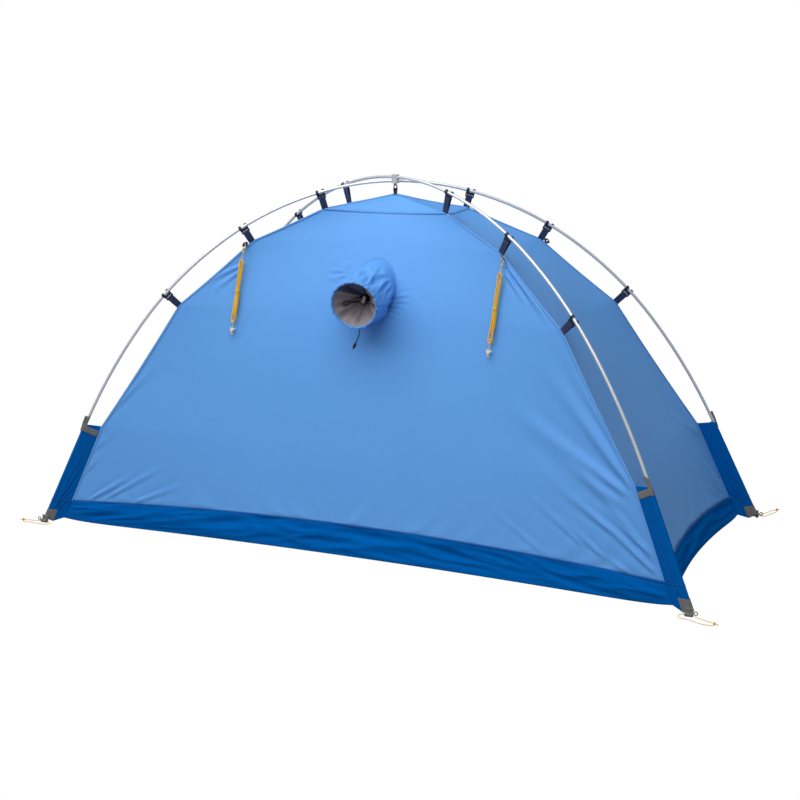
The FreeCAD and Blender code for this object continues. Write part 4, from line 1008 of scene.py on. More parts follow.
wall_pieces = {}
for side, (columns, rows) in WALL_GRIDS.items():
    edge = OPENINGS.get(side)
    outside = (lambda point, test=edge[0]: test(point) > 0.0) if edge else None
    flat, area = FLAT_WALLS[SIDES[side][0]]
    piece = cloth(f"{side}_wall", columns, rows, wall_surface(side, edge), CANOPY, flat, keep=outside)
    wall_pieces[side] = sewn(piece, "canopy_fabric", f"wall_{side}")
    if side == "rear":
        area -= DOOR_AREA
print("walls:", {side: len(piece.data.polygons) for side, piece in wall_pieces.items()})

# %% [markdown]
# ## The door
# The door is cut from the same panel, so it lies in the same surface, a zip's width inside the opening. Its
# zip is a tape with a coil on its edge. The coil's teeth are too small to model one by one, so the tape's own
# bump shows them, and only the coil's round back is shape.


# %% Door outline as a path
def door_path(inset):
    """The door's outline as places and heights, anticlockwise from the middle of its foot."""
    half, low, corner = DOOR_HALF - inset, DOOR_LOW + inset, DOOR_CORNER - inset
    arch_height, arch = DOOR_TOP - ARCH_R, ARCH_R - inset
    start = math.atan2(DOOR_SHOULDER - arch_height, DOOR_HALF)
    path = [(half * t, low) for t in (0.0, 0.2, 0.4, 0.6, 0.72)]
    path += [
        (half - corner + corner * math.sin(a), low + corner - corner * math.cos(a))
        for a in (step * math.pi / 16 for step in range(9))
    ]
    path += [(half, low + corner + (DOOR_SHOULDER - low - corner) * t / 12) for t in range(1, 12)]
    path += [
        (arch * math.cos(a), arch_height + arch * math.sin(a))
        for a in (start + (math.pi / 2 - start) * t / 20 for t in range(21))
    ]
    return path + [(-x, z) for x, z in reversed(path[1:-1])]


# %% Zip tape
def zip_finish():
    """Zip tape with a coil along its outer edge."""
    material, shader, place, tape = new_finish("zip_coil_tape")
    across, along = tape.split(0), tape.split(1)
    coil = across.below(0.0032)
    teeth = (along * (2 * math.pi / 0.0016)).sine()
    grain = place.noise(260.0, 2.0)
    tape_blue, coil_navy = colour(0.004, 0.070, 0.270), colour(0.010, 0.022, 0.060)
    connect(
        shader,
        Base_Color=(coil * 0.7 + grain * 0.3).between(tape_blue, coil_navy),
        Roughness=0.62 + grain * 0.1 - coil * 0.2,
        Normal=bumped(coil * teeth * 0.6 + grain * 0.2, 0.0006, 0.8),
    )
    return material


ZIP = zip_finish()


def zip_strip(name, inset, width, body, *nodes):
    """A closed zip tape that follows the door's outline, with its coil edge first."""
    across = (0.0, 0.12, 0.25, 0.38, 0.7, 1.0)
    raised = (0.0004, 0.0018, 0.0018, 0.0008, 0.0007, 0.0004)
    paths = [door_path(inset + width * share) for share in across]
    lines = [
        [on_wall("rear", *path[step % len(path)], lift) for path, lift in zip(paths, raised)]
        for step in range(len(paths[0]) + 1)
    ]
    piece = strip(name, lines, ZIP, abs(width), 2.35, 0.0005)
    return sewn(piece, "zip_tape", *nodes, body=body)


# %% [markdown]
# ## Cutting out the door
# The door's sheet starts as the whole rear wall, and keeps only the faces inside the opening. So its cloth has
# the same curve, the same weave and the same folds as the wall round it. It moves with the door's body, and so
# does the half of the zip that is sewn to it.

# %% Door panel and zips
def door_keep(point):
    return from_door(point) < -DOOR_GAP


door = cloth(
    "door_cloth", *WALL_GRIDS["rear"], wall_surface("rear", (from_door, -DOOR_GAP)), CANOPY,
    FLAT_WALLS["long"][0], keep=door_keep,
)
sewn(door, "canopy_fabric", "door_panel", body="door")
zip_strip("zip_door_side", DOOR_GAP / 2, ZIP_WIDTH, "door", "door_zip")
zip_strip("zip_wall_side", -0.0004, -ZIP_WIDTH, "root")
print("door:", len(door.data.polygons), "faces")

# %% [markdown]
# ## Roof
# The roof is one small panel whose four slopes meet at the peak, where the top strap holds it. Its edges bow
# down a little between the ridges.

# %% Roof
roof = cloth(
    "roof_cloth", 60, 44, lambda a, b: roof_point(a * 2 - 1, b * 2 - 1, -0.0002), CANOPY, (0.40, 0.18)
)
sewn(roof, "canopy_fabric", "roof_panel")
print("roof:", len(roof.data.polygons), "faces")

# %% [markdown]
# ## Floor band
# The floor band is heavier coated cloth. It carries the groundsheet's edge up off the wet ground, and it hangs
# a little slack, so it crumples. Broad noise gives its long shallow waves. The size of a second noise, which
# has a sharp line wherever it passes zero, gives the thin bright creases that slant up to the corners.


# %% Floor band
def hem_point(side, share):
    """The hem's place along a side, how far out it is, and its height."""
    across, cross, _, _, sag = SHAPES[SIDES[side][0]]
    out, low = HEM
    return share * out * across, out * cross - sag * (1.0 - share**2), low + 0.010 * share**16


def band_surface(side):
    """The surface function of a side's floor band, from its hem up to the wall's seam."""
    kind, right, outward = SIDES[side]
    seed = 5.0 + 2.3 * len(side)

    def surface(across, upward):
        share = across * 2.0 - 1.0
        hem_along, hem_depth, hem_height = hem_point(side, share)
        seam_along, seam_height = level_point(side, share, WALL_LOW)
        seam_depth = wall_depth(kind, seam_along, seam_height)
        along = hem_along + (seam_along - hem_along) * upward
        depth = hem_depth + (seam_depth - hem_depth) * upward
        height = hem_height + (seam_height - hem_height) * upward
        held = smooth_step((1.0 - abs(share)) / 0.03) * math.sin(math.pi * upward) ** 0.6
        drift = height + 0.10 * abs(along)
        broad = noise.noise(Vector((along * 4.2, drift * 20.0, seed)))
        sharp = noise.noise(Vector((along * 7.5, drift * 52.0, seed + 4.0)))
        crumple = broad * 0.0065 + (0.22 - abs(sharp)) * 0.0125
        bulge = 0.0030 * math.sin(math.pi * upward)
        depth += held * (crumple + bulge)
        return right * along + outward * depth + UP * (height + held * crumple * 0.3)

    return surface


FLAT_BANDS = {"long": (1.99, 0.104), "short": (0.85, 0.085)}
for side in SIDES:
    width, tall = FLAT_BANDS[SIDES[side][0]]
    columns = 220 if SIDES[side][0] == "long" else 110
    band = cloth(f"{side}_band", columns, 26, band_surface(side), FLOOR, (width, tall), 0.0008)
    sewn(band, "floor_fabric", f"floor_band_{side}")
print("floor bands:", len(SIDES))

# %% [markdown]
# ## Groundsheet
# The groundsheet lies flat, apart from the creases that it was folded into, and its corners lift a little
# where the band's corners are pulled up to the sleeves.


# %% Groundsheet
def ground_surface(across, upward):
    """A point of the groundsheet, whose four edges curve in between the corners."""
    a, b = across * 2.0 - 1.0, upward * 2.0 - 1.0
    half_x, half_y = HEM[0] * DIAGONAL.x, HEM[0] * DIAGONAL.y
    x = a * (half_x - SHORT_HEM_SAG * (1.0 - b * b))
    y = b * (half_y - LONG_HEM_SAG * (1.0 - a * a))
    crease = abs(noise.noise(Vector((x * 7.0, y * 7.0, 1.5)))) * 0.0016
    corner = 0.010 * abs(a * b) ** 16
    return Vector((x, y, 0.0028 + corner - crease * (1.0 - max(abs(a), abs(b)) ** 6)))


ground = cloth("groundsheet", 160, 80, ground_surface, FLOOR, (1.99, 0.85))
sewn(ground, "floor_fabric", "floor_sheet")
print("groundsheet:", len(ground.data.polygons), "faces")

# %% [markdown]
# ## Seams
# A flat-felled seam is two panels folded into each other and stitched twice. From outside it is a strip about
# a centimetre wide that stands a millimetre proud, with two rows of stitches. The ridge seams carry the
# clips' pull, so theirs is folded over once more and stands up as a rounded edge.


# %% Seam finish
def seam_finish(name, dark, light, thread, rows):
    """Cloth with rows of stitches along it, at these distances across the strip."""
    material, shader, place, cloth_uv = new_finish(name)
    across, along = cloth_uv.split(0), cloth_uv.split(1)
    dash = (along * (2 * math.pi / 0.0042)).sine().above(-0.25)
    stitch = sum((across - distance).size().below(0.00045) * dash for distance in rows)
    tone = place.noise(40.0, 3.0).between(colour(*dark), colour(*light))
    pucker = (along * (2 * math.pi / 0.0085)).sine() * 0.3 + place.noise(120.0, 2.0)
    connect(
        shader,
        Base_Color=(stitch * 0.75).between(tone, colour(*thread)),
        Roughness=place.noise(60.0, 2.0) * 0.1 + 0.5,
        Normal=bumped(pucker * 0.4 + stitch * 0.3, 0.0008, 0.6),
        Specular_IOR_Level=0.25,
    )
    return material


RIDGE_SEAM = seam_finish(
    "ridge_seam", (0.100, 0.305, 0.720), (0.128, 0.355, 0.785), (0.16, 0.42, 0.86), (0.0016, 0.0048)
)
BAND_SEAM = seam_finish(
    "band_seam", (0.001, 0.074, 0.320), (0.002, 0.094, 0.385), (0.03, 0.20, 0.55), (0.0014, 0.0048)
)
WHITE_SEAM = seam_finish(
    "white_stitched_seam", (0.001, 0.074, 0.320), (0.002, 0.094, 0.385), (0.62, 0.72, 0.82), (0.0014, 0.0048)
)
print("seam finishes:", RIDGE_SEAM.name, BAND_SEAM.name, WHITE_SEAM.name)


# %% Ridge seams
def leg_sides(leg):
    """The long and the short wall that meet at a leg, and which end of each is there."""
    side_x, side_y = LEGS[leg]
    long_side = "front" if side_y < 0 else "rear"
    short_side = "right" if side_x > 0 else "left"
    long_end = side_x * SIDES[long_side][1].x
    short_end = side_y * SIDES[short_side][1].y
    return (long_side, long_end), (short_side, short_end)


def ridge_row(leg, level):
    """The points across a ridge seam at one height, from the long wall over the ridge to the short wall."""
    (long_side, long_end), (short_side, short_end) = leg_sides(leg)
    row = []
    for inset, raised in ((0.0066, 0.0003), (0.0061, 0.0008), (0.0030, 0.0009), (0.0012, 0.0017)):
        edge = ridge_out(level) * DIAGONAL.x - inset
        row.append(on_wall(long_side, long_end * edge, level, raised))
    for inset, raised in ((0.0005, 0.0018), (0.0030, 0.0003)):
        edge = ridge_out(level) * DIAGONAL.y - inset
        row.append(on_wall(short_side, short_end * edge, level, raised))
    return row


for leg in LEGS:
    levels = [WALL_LOW + (WALL_HIGH - 0.004 - WALL_LOW) * step / 110 for step in range(111)]
    rows = [ridge_row(leg, level) for level in levels]
    if LEGS[leg][0] * LEGS[leg][1] < 0:
        rows = [list(reversed(row)) for row in rows]
    seam = strip(f"ridge_seam_{leg}", rows, RIDGE_SEAM, 0.008, 1.26, 0.0005)
    sewn(seam, "canopy_fabric")
print("ridge seams:", len(LEGS))

# %% [markdown]
# ## Roof and band seams
# The roof seam folds over the roof's edge, and the band seam follows a level line round the tent. Both are
# strips whose rows of points lie on the surfaces that they join. The short walls have one more row of light
# stitches, a little above their band seam.


# %% Roof and band seams
def roof_edge_row(side, share):
    """The points across the roof seam: on the roof, over the fold, and on the wall."""
    turned = {
        "front": (share, -1.0), "rear": (-share, 1.0), "right": (1.0, share), "left": (-1.0, -share),
    }[side]
    inner = roof_point(turned[0] * 0.97, turned[1] * 0.955, 0.0006)
    along, height = level_point(side, share, WALL_HIGH - 0.0001)
    lower_along, lower_height = level_point(side, share, WALL_HIGH - 0.006)
    return [
        on_wall(side, lower_along, lower_height, 0.0006), on_wall(side, along, height - 0.002, 0.0016),
        on_wall(side, along, height, 0.0018), inner,
    ]


BAND_SEAM_ROW = ((0.0030, 0.0002), (0.0026, 0.0008), (-0.0031, 0.0008), (-0.0035, 0.0003))
STITCH_ROW = ((0.0088, 0.0006), (0.0072, 0.0006))
SEAM_LENGTHS = {"long": (0.40, 1.95), "short": (0.18, 0.83)}


def level_rows(side, row, reach):
    """Rows of points along the band seam: each is a rise above the seam's line, and raised off the cloth."""
    rows = []
    for step in range(161):
        along, height = level_point(side, (step / 80 - 1.0) * reach, WALL_LOW)
        rows.append([on_wall(side, along, height + rise, raised) for rise, raised in row])
    return rows


for side in SIDES:
    kind = SIDES[side][0]
    roof_length, band_length = SEAM_LENGTHS[kind]
    rows = [list(reversed(roof_edge_row(side, step / 40 - 1.0))) for step in range(81)]
    sewn(strip(f"roof_seam_{side}", rows, RIDGE_SEAM, 0.010, roof_length, 0.0004), "canopy_fabric")
    if kind == "short":
        rows = level_rows(side, STITCH_ROW, 0.985)
        sewn(strip(f"stitch_line_{side}", rows, RIDGE_SEAM, 0.0016, 0.81, 0.0003), "canopy_fabric")
    rows = level_rows(side, BAND_SEAM_ROW, 0.997)
    finish = BAND_SEAM if kind == "long" else WHITE_SEAM
    sewn(strip(f"band_seam_{side}", rows, finish, 0.0065, band_length, 0.0004), "floor_fabric")
for leg, (side_x, side_y) in LEGS.items():
    rows = []
    for step in range(31):
        share = 0.02 + 0.975 * step / 30
        row = [
            roof_point(side_x * (share - 0.035), side_y * share, 0.0003),
            roof_point(side_x * share, side_y * share, 0.0016),
            roof_point(side_x * share, side_y * (share - 0.06), 0.0003),
        ]
        rows.append(row if side_x * side_y > 0 else list(reversed(row)))
    sewn(strip(f"roof_ridge_{leg}", rows, RIDGE_SEAM, 0.009, 0.22, 0.0004), "canopy_fabric")
print("roof, band and stitch strips:", 3 * len(SIDES) + 2)

# %% [markdown]
# ## Corner sleeves
# A sleeve is a doubled strip of floor cloth sewn to the ridge seam. The pole's foot stands in its outer edge,
# so its section is a long drop: two flat layers from the seam that part to go round the pole. The pole pulls
# the cloth down to the foot, and diagonal folds gather there. Grey webbing guards the foot and the open top.

# %% Sleeve shape
WRAP_R = 0.0070
WRAP_SHARE = 0.22
SLEEVE_LOW, SLEEVE_HIGH = 0.013, 0.311
SLEEVE_FOLDS = [
    fold((0.014, 0.050), (0.046, 0.215), 0.0050, 0.0046),
    fold((0.018, 0.045), (0.055, 0.150), 0.0045, 0.0042),
    fold((0.012, 0.055), (0.030, 0.260), 0.0050, 0.0038),
    fold((0.022, 0.040), (0.060, 0.105), 0.0042, 0.0038),
    fold((0.010, 0.300), (0.046, 0.215), 0.0055, 0.0026),
]


def pole_out(height):
    """How far out the middle of a pole's foot section is at a height."""
    (low_out, low), (high_out, high) = POLE_FOOT, POLE_MOUTH
    return low_out + (high_out - low_out) * (height - low) / (high - low)


def seam_out(height):
    """How far out the sleeve's seam is at a height."""
    out, _ = along_line((HEM, *RIDGE[:2]), height)
    return out + 0.0004


def sleeve_point(leg, turn, height, raised=0.0):
    """A point of a sleeve. turn runs from -1, the seam behind, round the pole at 0, to 1, the front seam."""
    side_x, side_y = LEGS[leg]
    front = side_x * side_y
    middle, seam = pole_out(height), seam_out(height)
    reach = middle - seam
    radius = WRAP_R + raised
    narrow = math.asin(radius / reach)
    side = 1.0 if turn >= 0 else -1.0
    if abs(turn) <= WRAP_SHARE:
        angle = turn / WRAP_SHARE * (math.pi / 2 + narrow)
        out, beside = middle + radius * math.cos(angle), radius * math.sin(angle)
    else:
        share = (abs(turn) - WRAP_SHARE) / (1.0 - WRAP_SHARE)
        near_out, near_beside = middle - radius * math.sin(narrow), radius * math.cos(narrow)
        out = near_out + (seam - near_out) * share
        beside = side * (near_beside + (0.0009 + raised - near_beside) * share)
        held = max(math.sin(math.pi * share), 0.0) ** 0.7
        wave = fold_sum(SLEEVE_FOLDS, middle - out, height)
        wave += noise.noise(Vector((out * 30.0, height * 14.0, front * 2.0 + side_y))) * 0.0022
        beside += held * (wave * 0.8 + side * 0.0006)
    return leg_point(leg, out, height, beside * front)


# %% Sleeve edges and layers
def from_pole(turn):
    """How far a turn is along its flat layer: 0 at the pole, 1 at the seam."""
    return max(abs(turn) - WRAP_SHARE, 0.0) / (1.0 - WRAP_SHARE)


def mouth_rise(turn):
    """How much higher or lower the mouth's edge is: highest at the pole, lowest at the seam in front."""
    return 0.0085 - (0.0220 if turn > 0 else 0.0045) * from_pole(turn)


def foot_drop(turn):
    """How far the foot's edge comes down under the grey patch."""
    share = from_pole(turn)
    return 0.0108 * min(share / 0.45, (1.0 - share) / 0.55)


def sleeve_layer(leg, low_turn, high_turn, low, high, raised, slant=0.0):
    """The surface function of a piece that lies on a sleeve. slant lowers it towards the seams."""

    def surface(across, upward):
        turn = low_turn + (high_turn - low_turn) * across
        height = low + (high - low) * upward
        height += mouth_rise(turn) * smooth_step((height - 0.20) / 0.09)
        height -= foot_drop(turn) * (1.0 - smooth_step((height - SLEEVE_LOW) / 0.05))
        height -= slant * max(abs(turn) - WRAP_SHARE, 0.0)
        return sleeve_point(leg, turn, height, raised)

    return surface


def outward_order(leg, low_turn, high_turn):
    """The two turns in the order that makes the cloth's face look outward on this leg."""
    return (low_turn, high_turn) if LEGS[leg][0] * LEGS[leg][1] > 0 else (high_turn, low_turn)


# %% [markdown]
# ## What is sewn to a sleeve
# The patch at the foot, the band at the mouth and the two stitched seams all lie on the sleeve, so each is a
# part of the same surface between two turns and two heights, raised by its own thickness.

# %% Sleeves, patches, bands and seams
PATCH_PLACE, PATCH_SIZE = (-0.58, 0.58, 0.0126, 0.0430, 0.0011), (0.056, 0.031)
BAND_PLACE, BAND_SIZE = (0.03, 0.97, 0.2935, 0.3115, 0.0011), (0.048, 0.018)
SEAM_PLACE, SEAM_SIZE = (0.60, 0.645, 0.052, 0.294, 0.0006), (0.003, 0.242)
JOINT_PLACE, JOINT_SIZE = (-0.97, 0.97, 0.0755, 0.0782, 0.0006, 0.013), (0.12, 0.0035)
SEWN_ON = (
    ("foot_patch", 36, 14, PATCH_PLACE, GREY, PATCH_SIZE, 0.0009, "webbing_grey"),
    ("mouth_band", 26, 8, BAND_PLACE, GREY, BAND_SIZE, 0.0009, "webbing_grey"),
    ("sleeve_seam", 2, 60, SEAM_PLACE, BAND_SEAM, SEAM_SIZE, 0.0004, "floor_fabric"),
    ("sleeve_joint", 72, 2, JOINT_PLACE, BAND_SEAM, JOINT_SIZE, 0.0004, "floor_fabric"),
)
for leg in LEGS:
    face = sleeve_layer(leg, *outward_order(leg, -1.0, 1.0), SLEEVE_LOW, SLEEVE_HIGH, 0.0)
    sleeve = cloth(f"sleeve_{leg}", 72, 90, face, FLOOR, (0.125, 0.34), 0.0006)
    sewn(sleeve, "floor_fabric", f"corner_sleeve_{leg}")
    for name, columns, rows, (low_turn, high_turn, *heights), finish, size, thickness, slot in SEWN_ON:
        face = sleeve_layer(leg, *outward_order(leg, low_turn, high_turn), *heights)
        sewn(cloth(f"{name}_{leg}", columns, rows, face, finish, size, thickness), slot)
print("corner sleeves:", len(LEGS), "with", len(SEWN_ON), "pieces sewn to each")

# %% [markdown]
# ## Mouth tabs
# In each sleeve's mouth a webbing tab stands up along the pole, to pull the sleeve by. It is narrow where it
# comes out, widens upwards, and its top edge is cut at a slant.


# %% Mouth tabs
def tab_surface(leg):
    """The surface function of a mouth tab, on the front side of its pole."""
    side_x, side_y = LEGS[leg]
    front = side_x * side_y

    def surface(across, upward):
        height = 0.303 + 0.047 * upward + 0.005 * (0.5 - across) * upward
        width = 0.017 * (0.5 - across) * (0.62 + 0.38 * smooth_step(upward / 0.75))
        beside = 0.0057 + 0.0022 * smooth_step((upward - 0.45) / 0.5)
        return leg_point(leg, pole_out(height) + 0.0045 + width * front, height, front * beside)

    return surface


for leg in LEGS:
    tab = cloth(f"mouth_tab_{leg}", 8, 20, tab_surface(leg), GREY, (0.017, 0.047), 0.0012)
    sewn(tab, "webbing_grey")
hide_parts("sleeve_webbings")
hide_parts("corner_patches")
print("mouth tabs:", len(LEGS))

# %% [markdown]
# ## Webbing loops
# At each foot a webbing strap comes down from the patch and is rolled up to a loop, and the peg cord runs
# through it. The strap's section is a short straight and then more than one turn of a spiral, swept along X.

# %% Webbing loops
LOOP_PLACE = Vector((1.0455, 0.4607, 0.0063))
LOOP_LENGTH = 0.022
LOOP_BEND = 0.0046


def loop_section():
    """The rolled strap's section: outward from the tent, and up, from its sewn end to its rolled end."""
    points = [(-0.0058, 0.0180), (-0.0056, 0.0130), (-0.0052, 0.0070), (-0.0047, 0.0015)]
    for step in range(1, 31):
        angle = math.pi + step * math.pi / 11
        radius = LOOP_BEND - 0.0016 * smooth_step((step - 16) / 10)
        points.append((radius * math.cos(angle), radius * math.sin(angle)))
    return points


for leg, (side_x, side_y) in LEGS.items():
    lines = []
    for outward, up in loop_section():
        middle = Vector((side_x * LOOP_PLACE.x, side_y * (LOOP_PLACE.y + outward), LOOP_PLACE.z + up))
        shares = (0.0, 0.03, 0.35, 0.65, 0.97, 1.0)
        ends = [middle + Vector((LOOP_LENGTH * (share - 0.5), 0.0, 0.0)) for share in shares]
        lines.append(ends if side_y > 0 else list(reversed(ends)))
    loop = strip(f"webbing_loop_{leg}", lines, GREY, LOOP_LENGTH, 0.062, 0.0012)
    sewn(loop, "webbing_grey")
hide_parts("corner_loops")
print("webbing loops:", len(LEGS))

# %% [markdown]
# ## Clip straps
# Every clip hangs on a short navy strap that is sewn into the ridge seam. The strap is a loop: it goes up one
# side of the clip's lower bar, through the slot, and down the other side. A clip can be twisted off its pole,
# but the strap stays where it is made and doesn't turn with the clip.

# %% Clip straps
LEVELS = {"low": RIDGE[2], "mid": RIDGE[3], "high": RIDGE[4]}
STRAP_WIDTH = 0.020


def strap_section(gap):
    """A strap's loop: beside the pole, and outward along the clip's axis, up one side and down the other."""
    up = [(0.0007, -gap - 0.001), (0.0009, -gap + 0.006), (0.0022, -gap * 0.62 - 0.004), (0.0034, -0.0225)]
    up += [(0.0037, -0.0195), (0.0036, -0.0168), (0.0026, -0.0150), (0.0, -0.0143)]
    return up + [(-beside, outward) for beside, outward in reversed(up[:-1])]


for leg, (side_x, side_y) in LEGS.items():
    for level, (out, height) in LEVELS.items():
        joint = JOINTS[f"clip_{leg}_{level}_twist"]
        place, normal = Vector(joint["pos_m"]), Vector(joint["axis"]).normalized()
        along = leg_point(leg, 1.0, 0.0)
        down = (along * normal.z - UP * normal.dot(along)).normalized()
        beside = normal.cross(down)
        gap = (place - leg_point(leg, out, height)).length
        lines = []
        for aside, outward in strap_section(gap):
            middle = place + beside * aside + normal * outward
            shares = (0.0, 0.04, 0.3, 0.7, 0.96, 1.0)
            lines.append([middle + down * (STRAP_WIDTH * (share - 0.5)) for share in shares])
        strap = strip(f"strap_{leg}_{level}", lines, NAVY, STRAP_WIDTH, 2 * gap, 0.0011)
        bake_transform(strap)
        if (leg, level) == ("front_left", "low"):
            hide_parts("hook_straps")
print("clip straps:", len(LEGS) * len(LEVELS))

# %% [markdown]
# ## Top strap
# The same kind of loop hangs the peak of the roof from the hook under the crossing.

# %% Top strap
BAR = JOINTS["top_hook_swing"]["pos_m"][2] - 0.015
TOP_STRAP_WIDTH = 0.018
climb = [
    (0.0007, PEAK - 0.001), (0.0009, PEAK + 0.004), (0.0020, BAR - 0.004), (0.0026, BAR),
    (0.0019, BAR + 0.0022), (0.0, BAR + 0.0029),
]
lines = []
for aside, height in climb + [(-aside, height) for aside, height in reversed(climb[:-1])]:
    shares = (1.0, 0.95, 0.5, 0.05, 0.0)
    lines.append([Vector((aside, TOP_STRAP_WIDTH * (share - 0.5), height)) for share in shares])
top_strap = strip("strap_top", lines, NAVY, TOP_STRAP_WIDTH, 0.03, 0.0010)
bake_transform(top_strap)
print("top strap reaches", round(BAR - PEAK, 4), "m above the peak")

# %% [markdown]
# ## Guy tabs
# A short piece of navy webbing is folded to a diamond at each ridge, just under the middle clip, and the guy
# line goes through its eye. The diamond is a ring of faces from the eye out to the edge, made thick, and a
# Bevel modifier rounds its edges.

# %% Guy tabs
TAB_PLACE = (0.457, 0.885)
TAB_LEAN = math.radians(55.0)
lean = math.atan2(RIDGE[3][1] - RIDGE[2][1], RIDGE[2][0] - RIDGE[3][0])
for leg, (side_x, side_y) in LEGS.items():
    centre = leg_point(leg, *TAB_PLACE)
    along = leg_point(leg, math.cos(lean), -math.sin(lean))
    outward = leg_point(leg, math.sin(lean), math.cos(lean))
    side = leg_point(leg, 0.0, 0.0, side_x * side_y)
    reach = outward * math.cos(TAB_LEAN) + side * math.sin(TAB_LEAN)
    face = along.cross(reach)

    def tab_point(across, ring, along=along, reach=reach, face=face, centre=centre):
        angle = 2 * math.pi * across
        eye = Vector((0.0036 * math.cos(angle), 0.0168 + 0.0036 * math.sin(angle)))
        flare = (abs(math.cos(angle)) ** 1.25 + abs(math.sin(angle)) ** 1.25) ** (-1 / 1.25)
        tall = 0.0155 if math.sin(angle) < 0 else 0.0085
        edge = Vector((0.0105 * flare * math.cos(angle), 0.0168 + tall * flare * math.sin(angle)))
        spot = eye.lerp(edge, ring)
        curl = 0.0006 * math.sin(math.pi * ring)
        return centre + along * spot.x + reach * spot.y + face * curl

    tab = cloth(f"guy_tab_{leg}", 32, 5, tab_point, NAVY, (0.05, 0.012), 0.0022, weld=True)
    bevel = tab.modifiers.new("edge", "BEVEL")
    bevel.width = 0.0005
    bevel.segments = 2
    sewn(tab, "strap_navy")
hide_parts("guy_tabs")
print("guy tabs:", len(LEGS))

# %% [markdown]
# ## Vent tunnel
# The tunnel is a sewn tube of canopy cloth that hangs out of the wall. Nothing stretches it, so it sags a
# little, and dents and sharp creases run down it. Each of its points is given by an angle about the tunnel's
# own axis, a distance along the axis, and a radius, and noise in the radius makes the dents.

# %% Tunnel
VENT_REACH = (VENT_RIM - VENT_BASE).length
VENT_ROOT = 0.064
VENT_SIDE = VENT_AXIS.cross(UP).normalized()
VENT_UP = VENT_SIDE.cross(VENT_AXIS).normalized()


def tube_point(angle, along, radius):
    """A point at an angle about the tunnel's axis and a distance along it from the wall."""
    middle = VENT_BASE + VENT_AXIS * along
    return middle + (VENT_SIDE * math.cos(angle) + VENT_UP * math.sin(angle)) * radius


def tunnel_surface(across, outward):
    """The tunnel's cloth, from inside the wall out to the rim. It is dented most halfway."""
    angle = -2 * math.pi * across
    along = -VENT_ROOT + (VENT_REACH + VENT_ROOT) * outward
    share = min(max(along / VENT_REACH, 0.0), 1.0)
    slack = math.sin(math.pi * share) ** 0.8
    crease = noise.noise(Vector((math.cos(angle) * 2.1, math.sin(angle) * 2.1, share * 1.6 + 2.0)))
    sharp = 0.25 - abs(noise.noise(Vector((math.cos(angle) * 3.4, math.sin(angle) * 3.4, share * 2.6 + 9.0))))
    radius = VENT_R + slack * (crease * 0.0080 + sharp * 0.0160 + 0.0022) + 0.0006
    pucker = 0.00084 * math.sin(angle * 34) * (1.0 - smooth_step((1.0 - share) / 0.14))
    sag = 0.004 * math.sin(math.pi * share)
    return tube_point(angle, along, radius + pucker) - VENT_UP * sag


tunnel = cloth("vent_tunnel", 180, 60, tunnel_surface, CANOPY, (0.44, 0.19), 0.0005, weld=True)
sewn(tunnel, "canopy_fabric", "vent_sleeve")
print("tunnel:", round(VENT_REACH, 3), "m from the wall's plane to the rim")

# %% [markdown]
# ## Vent hem and collar
# At the rim the cloth is rolled over the drawcord and sewn down, and the cord gathers it, so the hem is a
# plump ring with small puckers. Its section is a list of places round the roll. At the wall a narrow folded
# collar covers the seam. Where the slanted tube meets the curved wall is found by halving: each step keeps
# the half in which the tube's line passes through the cloth.

# %% Vent hem and collar
HEM_SECTION = (
    (0.0008, -0.0100), (0.0016, -0.0092), (0.0020, -0.0060), (0.0022, -0.0025), (0.0018, 0.0010),
    (0.0004, 0.0030), (-0.0016, 0.0034), (-0.0032, 0.0020), (-0.0040, -0.0010), (-0.0042, -0.0050),
    (-0.0040, -0.0082),
)
COLLAR_FLARE = (0.0036, 0.0022, 0.0014, 0.0010)
COLLAR_LIFT = (0.0002, 0.0012, 0.0034, 0.0062)


def vent_hem(across, outward):
    """The drawcord hem: rolled over the cord, and puckered by it."""
    angle = -2 * math.pi * across
    beyond, along = HEM_SECTION[round(outward * (len(HEM_SECTION) - 1))]
    pucker = 0.0008 * math.sin(angle * 31 + 0.6) + 0.0007 * math.sin(angle * 19 + 2.0)
    return tube_point(angle, VENT_REACH + along + pucker * 0.8, VENT_R + beyond + pucker)


def vent_collar(across, outward):
    """The folded seam where the tunnel is sewn to the wall."""
    angle = -2 * math.pi * across
    direction = VENT_SIDE * math.cos(angle) + VENT_UP * math.sin(angle)
    low, high = -VENT_ROOT, 0.06
    for _ in range(18):
        middle = (low + high) / 2
        spot = VENT_BASE + VENT_AXIS * middle + direction * VENT_R
        low, high = (middle, high) if -spot.y < wall_depth("long", spot.x, spot.z) else (low, middle)
    flare, lift = COLLAR_FLARE[round(outward * 3)], COLLAR_LIFT[round(outward * 3)]
    return VENT_BASE + VENT_AXIS * (high + lift) + direction * (VENT_R + flare)


HEM_SEAM = seam_finish(
    "vent_hem_seam", (0.090, 0.285, 0.700), (0.120, 0.335, 0.770), (0.25, 0.50, 0.86), (0.0080,)
)
hem = cloth("vent_hem", 180, len(HEM_SECTION) - 1, vent_hem, HEM_SEAM, (0.44, 0.024), 0.0005)
collar = cloth("vent_collar", 120, 3, vent_collar, HEM_SEAM, (0.44, 0.008), 0.0004)
sewn(hem, "canopy_fabric", "vent_drawcord")
sewn(collar, "canopy_fabric")
print("hem and collar:", len(hem.data.polygons), len(collar.data.polygons), "faces")

# %% [markdown]
# ## Vent lining and mesh
# The lining is gathered by a cord further in. Between the rim and the gathering it falls into folds that
# deepen towards the neck, and its weight pulls the neck down. It is taupe, with a dark navy panel on its upper
# side: blue cloth whose darkness is painted shade from the tunnel's top. Behind it a round insect mesh is
# stretched across the tunnel's root.

# %% Lining
LINING_SAG = 0.013


